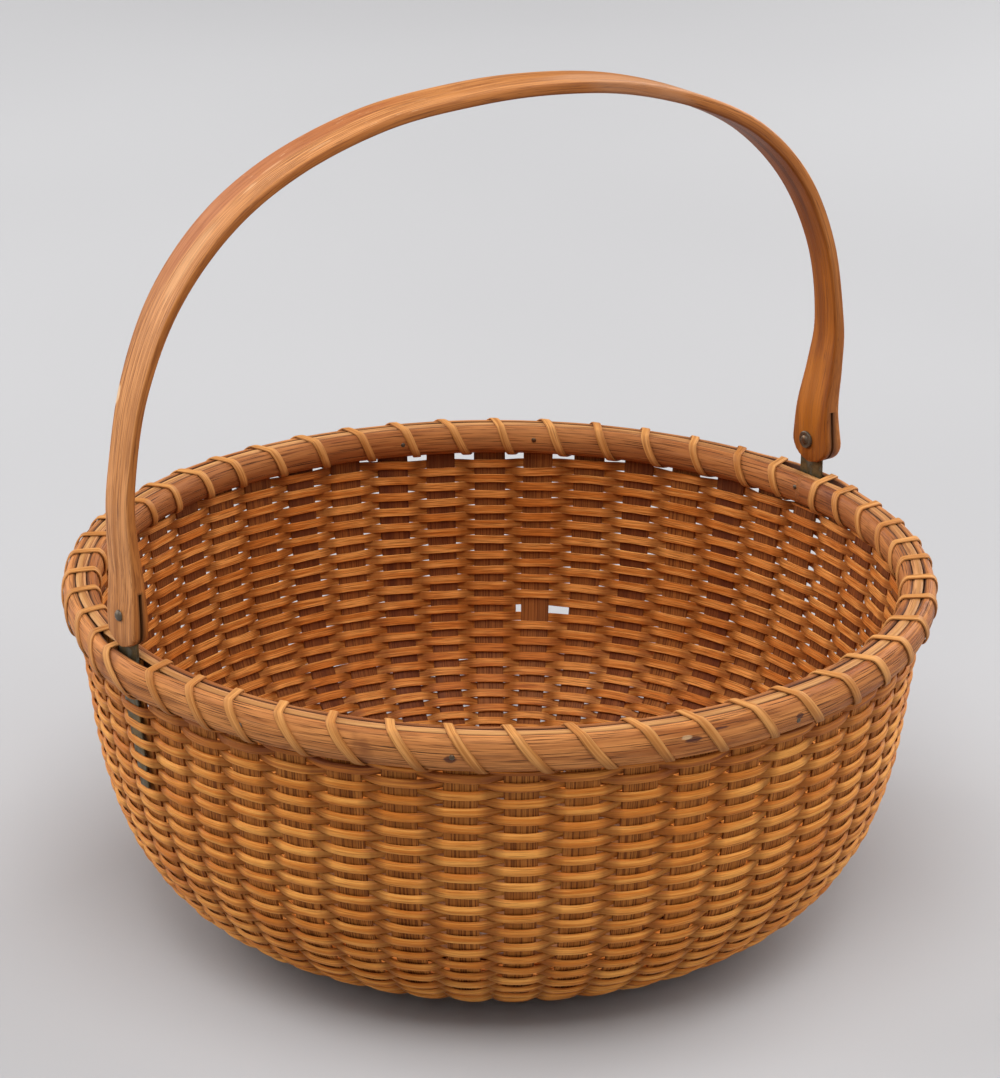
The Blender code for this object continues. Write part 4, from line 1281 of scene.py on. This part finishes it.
def dome(radius, height, base, steps=7):
    """Profile of a flattened dome that stands on this height."""
    angles = np.linspace(0.0, math.pi / 2, steps)
    return [(radius * math.cos(a), base + height * math.sin(a)) for a in angles]


def build_rivets(materials):
    bevel = BURR_THICKNESS * 0.3
    for side, end, place in (("right", 1, -1), ("left", -1, 0)):
        half = HANDLE_SIZES[place][2] / 2 + CLEARANCE / 2
        outside = half + HANDLE_STRAYS[place][1]
        inside = half - HANDLE_STRAYS[place][1]
        profile = [(0.0, -inside - BURR_THICKNESS - PEEN_HEIGHT)]
        for radius, rise in dome(PEEN_RADIUS, PEEN_HEIGHT, 0.0)[::-1][1:]:
            profile.append((radius, -inside - BURR_THICKNESS - rise))
        profile += [
            (BURR_RADIUS - bevel, -inside - BURR_THICKNESS),
            (BURR_RADIUS, -inside - BURR_THICKNESS + bevel),
            (BURR_RADIUS, -inside),
            (RIVET_RADIUS, -inside),
            (RIVET_RADIUS, outside),
        ]
        profile += dome(RIVET_HEAD_RADIUS, RIVET_HEAD_HEIGHT, outside)
        shape = Mesh()
        turned(shape, profile, RIVET_SIDES, (HALF_SPAN * end, PIVOT.y, PIVOT.z), (end, 0, 0))
        place_piece(shape.build(f"fine_rivet_{side}", 35), "dark_bronze", "handle", materials, f"rivet_{side}")


# Nails, as staves round from the right ear, share up the hoop, and outer hoop or inner.
NAILS = (
    (30.79, 0.48, True),
    (27.07, 0.48, True),
    (28.04, 0.40, True),
    (38.32, 0.31, True),
    (36.88, 0.35, True),
    (44.6, 0.5, True),
    (3.4, 0.5, True),
    (11.3, 0.55, True),
    (19.6, 0.5, True),
    (6.33, 0.58, False),
    (9.17, 0.52, False),
    (0.01, 0.64, False),
    (20.4, 0.5, False),
    (32.6, 0.5, False),
)


def build_nails(materials):
    """Small nail heads that hold the hoops."""
    shape = Mesh()
    for turn, share, outer in NAILS:
        angle = EAR_TURN + PITCH * turn
        inside, thickness, bottom = (
            (OUTER_RIM_INSIDE + ear_spread(turn), OUTER_RIM_THICKNESS, OUTER_RIM_BOTTOM)
            if outer
            else (INNER_RIM_OUTSIDE, -INNER_RIM_THICKNESS, INNER_RIM_BOTTOM)
        )
        heights = np.array(HOOP_SHARES)[2:9]
        reach = float(np.interp(share, heights[:, 1], heights[:, 0]))
        place = upright(angle, np.array([inside + thickness * reach, bottom + (RIM_TOP - bottom) * share]))
        out = upright(angle, np.array([1.0 if outer else -1.0, 0.0]))
        profile = [(0.0, -0.0012), (NAIL_RADIUS * 0.5, -0.0012), (NAIL_RADIUS, -0.0001)]
        profile += dome(NAIL_RADIUS, NAIL_HEIGHT, 0.0, 5)
        turned(shape, profile, 14, place, out)
    place_piece(shape.build("rim_nails", 40), "dark_bronze", "basket", materials)


def build_base(materials):
    """Turned board: rings cut in its top and underside, and the groove for the staves round its edge."""
    edge = BASE_EDGE_ROUND
    profile = [(0.0, 0.0)]
    for radius in (0.30, 0.62):
        profile += ring_cut(BASE_RADIUS * radius, 0.0, 1)
    profile += [
        (BASE_RADIUS - 0.0004, 0.0),
        (BASE_RADIUS, 0.0004),
        (BASE_RADIUS, GROOVE_LEVEL - GROOVE_HALF),
        (BASE_RADIUS - GROOVE_DEPTH, GROOVE_LEVEL - GROOVE_HALF),
        (BASE_RADIUS - GROOVE_DEPTH, GROOVE_LEVEL + GROOVE_HALF),
        (BASE_RADIUS, GROOVE_LEVEL + GROOVE_HALF),
    ]
    for angle in np.linspace(0, math.pi / 2, 5):
        profile.append(
            (BASE_RADIUS - edge + edge * math.cos(angle), BASE_THICKNESS - edge + edge * math.sin(angle))
        )
    for radius in (0.86, 0.80, 0.45, 0.12):
        profile += ring_cut(BASE_RADIUS * radius, BASE_THICKNESS, -1)[::-1]
    profile.append((0.0, BASE_THICKNESS))
    rings = []
    angle = np.linspace(0, 2 * math.pi, BASE_SIDES, endpoint=False)
    for radius, height in profile:
        radius = max(radius, 1e-5)
        rings.append(np.stack([radius * np.cos(angle), radius * np.sin(angle), angle * 0 + height], axis=1))
    rings = np.array(rings)
    finish = np.zeros(rings.shape)
    # Darker in the turned rings and at the rims of both faces.
    for index, (_, height) in enumerate(profile):
        if 0 < height < BASE_THICKNESS and (height < 0.0012 or height > BASE_THICKNESS - 0.0009):
            finish[index, :, 1] = 0.55
    shape = Mesh()
    shape.add_rings(rings, rings, finish)
    place_piece(shape.build("turned_base", 30), "base_oak", "basket", materials, "base_board")


def ring_cut(radius, level, up):
    """Profile of a small round groove cut into a flat face."""
    half, depth = 0.0009, 0.0006
    steps = np.linspace(-1, 1, 7)
    return [(radius + half * s, level + up * depth * (1 - s * s)) for s in steps]


# Stage

FLOOR_RADIUS = 1.7
FLOOR_SIDES = 120


def build_floor():
    """Plain pale floor, as a disc that fills the picture."""
    mesh = bpy.data.meshes.new("floor")
    angles = np.linspace(0, 2 * math.pi, FLOOR_SIDES, endpoint=False)
    points = [(FLOOR_RADIUS * math.cos(angle), FLOOR_RADIUS * math.sin(angle), 0.0) for angle in angles]
    mesh.from_pydata(points, [], [tuple(range(FLOOR_SIDES))])
    floor = bpy.data.objects.new("floor", mesh)
    bpy.context.scene.collection.objects.link(floor)
    made, tree, shader = new_material("floor_paper")
    cloud = patchy(tree, 0.9)
    grit = patchy(tree, 0.0012, detail=3.0)
    colour = mixed(tree, spread(tree, cloud, 0.3, 0.7), (0.415, 0.411, 0.419), (0.455, 0.453, 0.461))
    shade(tree, shader, colour, spread(tree, grit, 0.3, 0.7, 0.85, 0.95), grit, 0.0001, 0.1)
    shader.inputs["Specular IOR Level"].default_value = 0.1
    mesh.materials.append(made)


def build_light():
    """Large soft lamps round the basket, and a pale room behind it."""
    world = bpy.data.worlds.new("room")
    bpy.context.scene.world = world
    world.use_nodes = True
    tree = world.node_tree
    background = tree.nodes["Background"]
    seen = node(tree, "ShaderNodeLightPath").outputs["Is Camera Ray"]
    tree.links.new(mixed(tree, seen, (0.05, 0.049, 0.05), (0.62, 0.61, 0.62)), background.inputs["Color"])
    background.inputs["Strength"].default_value = 1.0
    for name, place, size, power in (
        ("left", (-1.59, 1.55, 1.1), 1.8, 38.0),
        ("far_left", (-0.34, 2.24, 1.3), 1.8, 26.0),
        ("far_right", (2.24, 0.34, 1.3), 1.8, 49.0),
        ("right", (1.81, -1.58, 1.1), 1.8, 23.0),
        ("front", (-1.30, -1.77, 1.6), 1.8, 13.0),
        ("ceiling", (-0.53, -0.72, 2.2), 1.6, 44.0),
    ):
        lamp = bpy.data.lights.new(name, "AREA")
        lamp.size = size
        lamp.energy = power
        obj = bpy.data.objects.new(name, lamp)
        bpy.context.scene.collection.objects.link(obj)
        obj.location = place
        aim = Vector((0, 0, 0.08)) - Vector(place)
        obj.rotation_euler = aim.to_track_quat("-Z", "Y").to_euler()


def build_camera():
    data = bpy.data.cameras.new("camera")
    camera = bpy.data.objects.new("camera", data)
    bpy.context.scene.collection.objects.link(camera)
    back = Vector(
        (
            math.sin(CAMERA_AZIMUTH) * math.cos(CAMERA_ELEVATION),
            -math.cos(CAMERA_AZIMUTH) * math.cos(CAMERA_ELEVATION),
            math.sin(CAMERA_ELEVATION),
        )
    )
    camera.location = Vector((0, 0, RIM_TOP)) + back * CAMERA_DISTANCE
    roll = Quaternion((0, 0, 1), CAMERA_ROLL)
    camera.rotation_euler = (back.to_track_quat("Z", "Y") @ roll).to_euler()
    data.sensor_width = SENSOR
    data.lens = FOCAL_PIXELS / IMAGE_HEIGHT * SENSOR
    data.shift_x = (IMAGE_WIDTH / 2 - RIM_CENTRE_PIXEL[0]) / IMAGE_HEIGHT
    data.shift_y = (RIM_CENTRE_PIXEL[1] - IMAGE_HEIGHT / 2) / IMAGE_HEIGHT
    data.dof.use_dof = False
    bpy.context.scene.camera = camera


def main():
    bpy.context.scene.view_settings.view_transform = "Standard"
    materials = make_materials()
    build_base(materials)
    build_staves(materials)
    build_weave(materials)
    build_rim(materials)
    build_ears(materials)
    build_handle(materials)
    build_rivets(materials)
    build_nails(materials)
    build_floor()
    build_light()
    build_camera()


main()
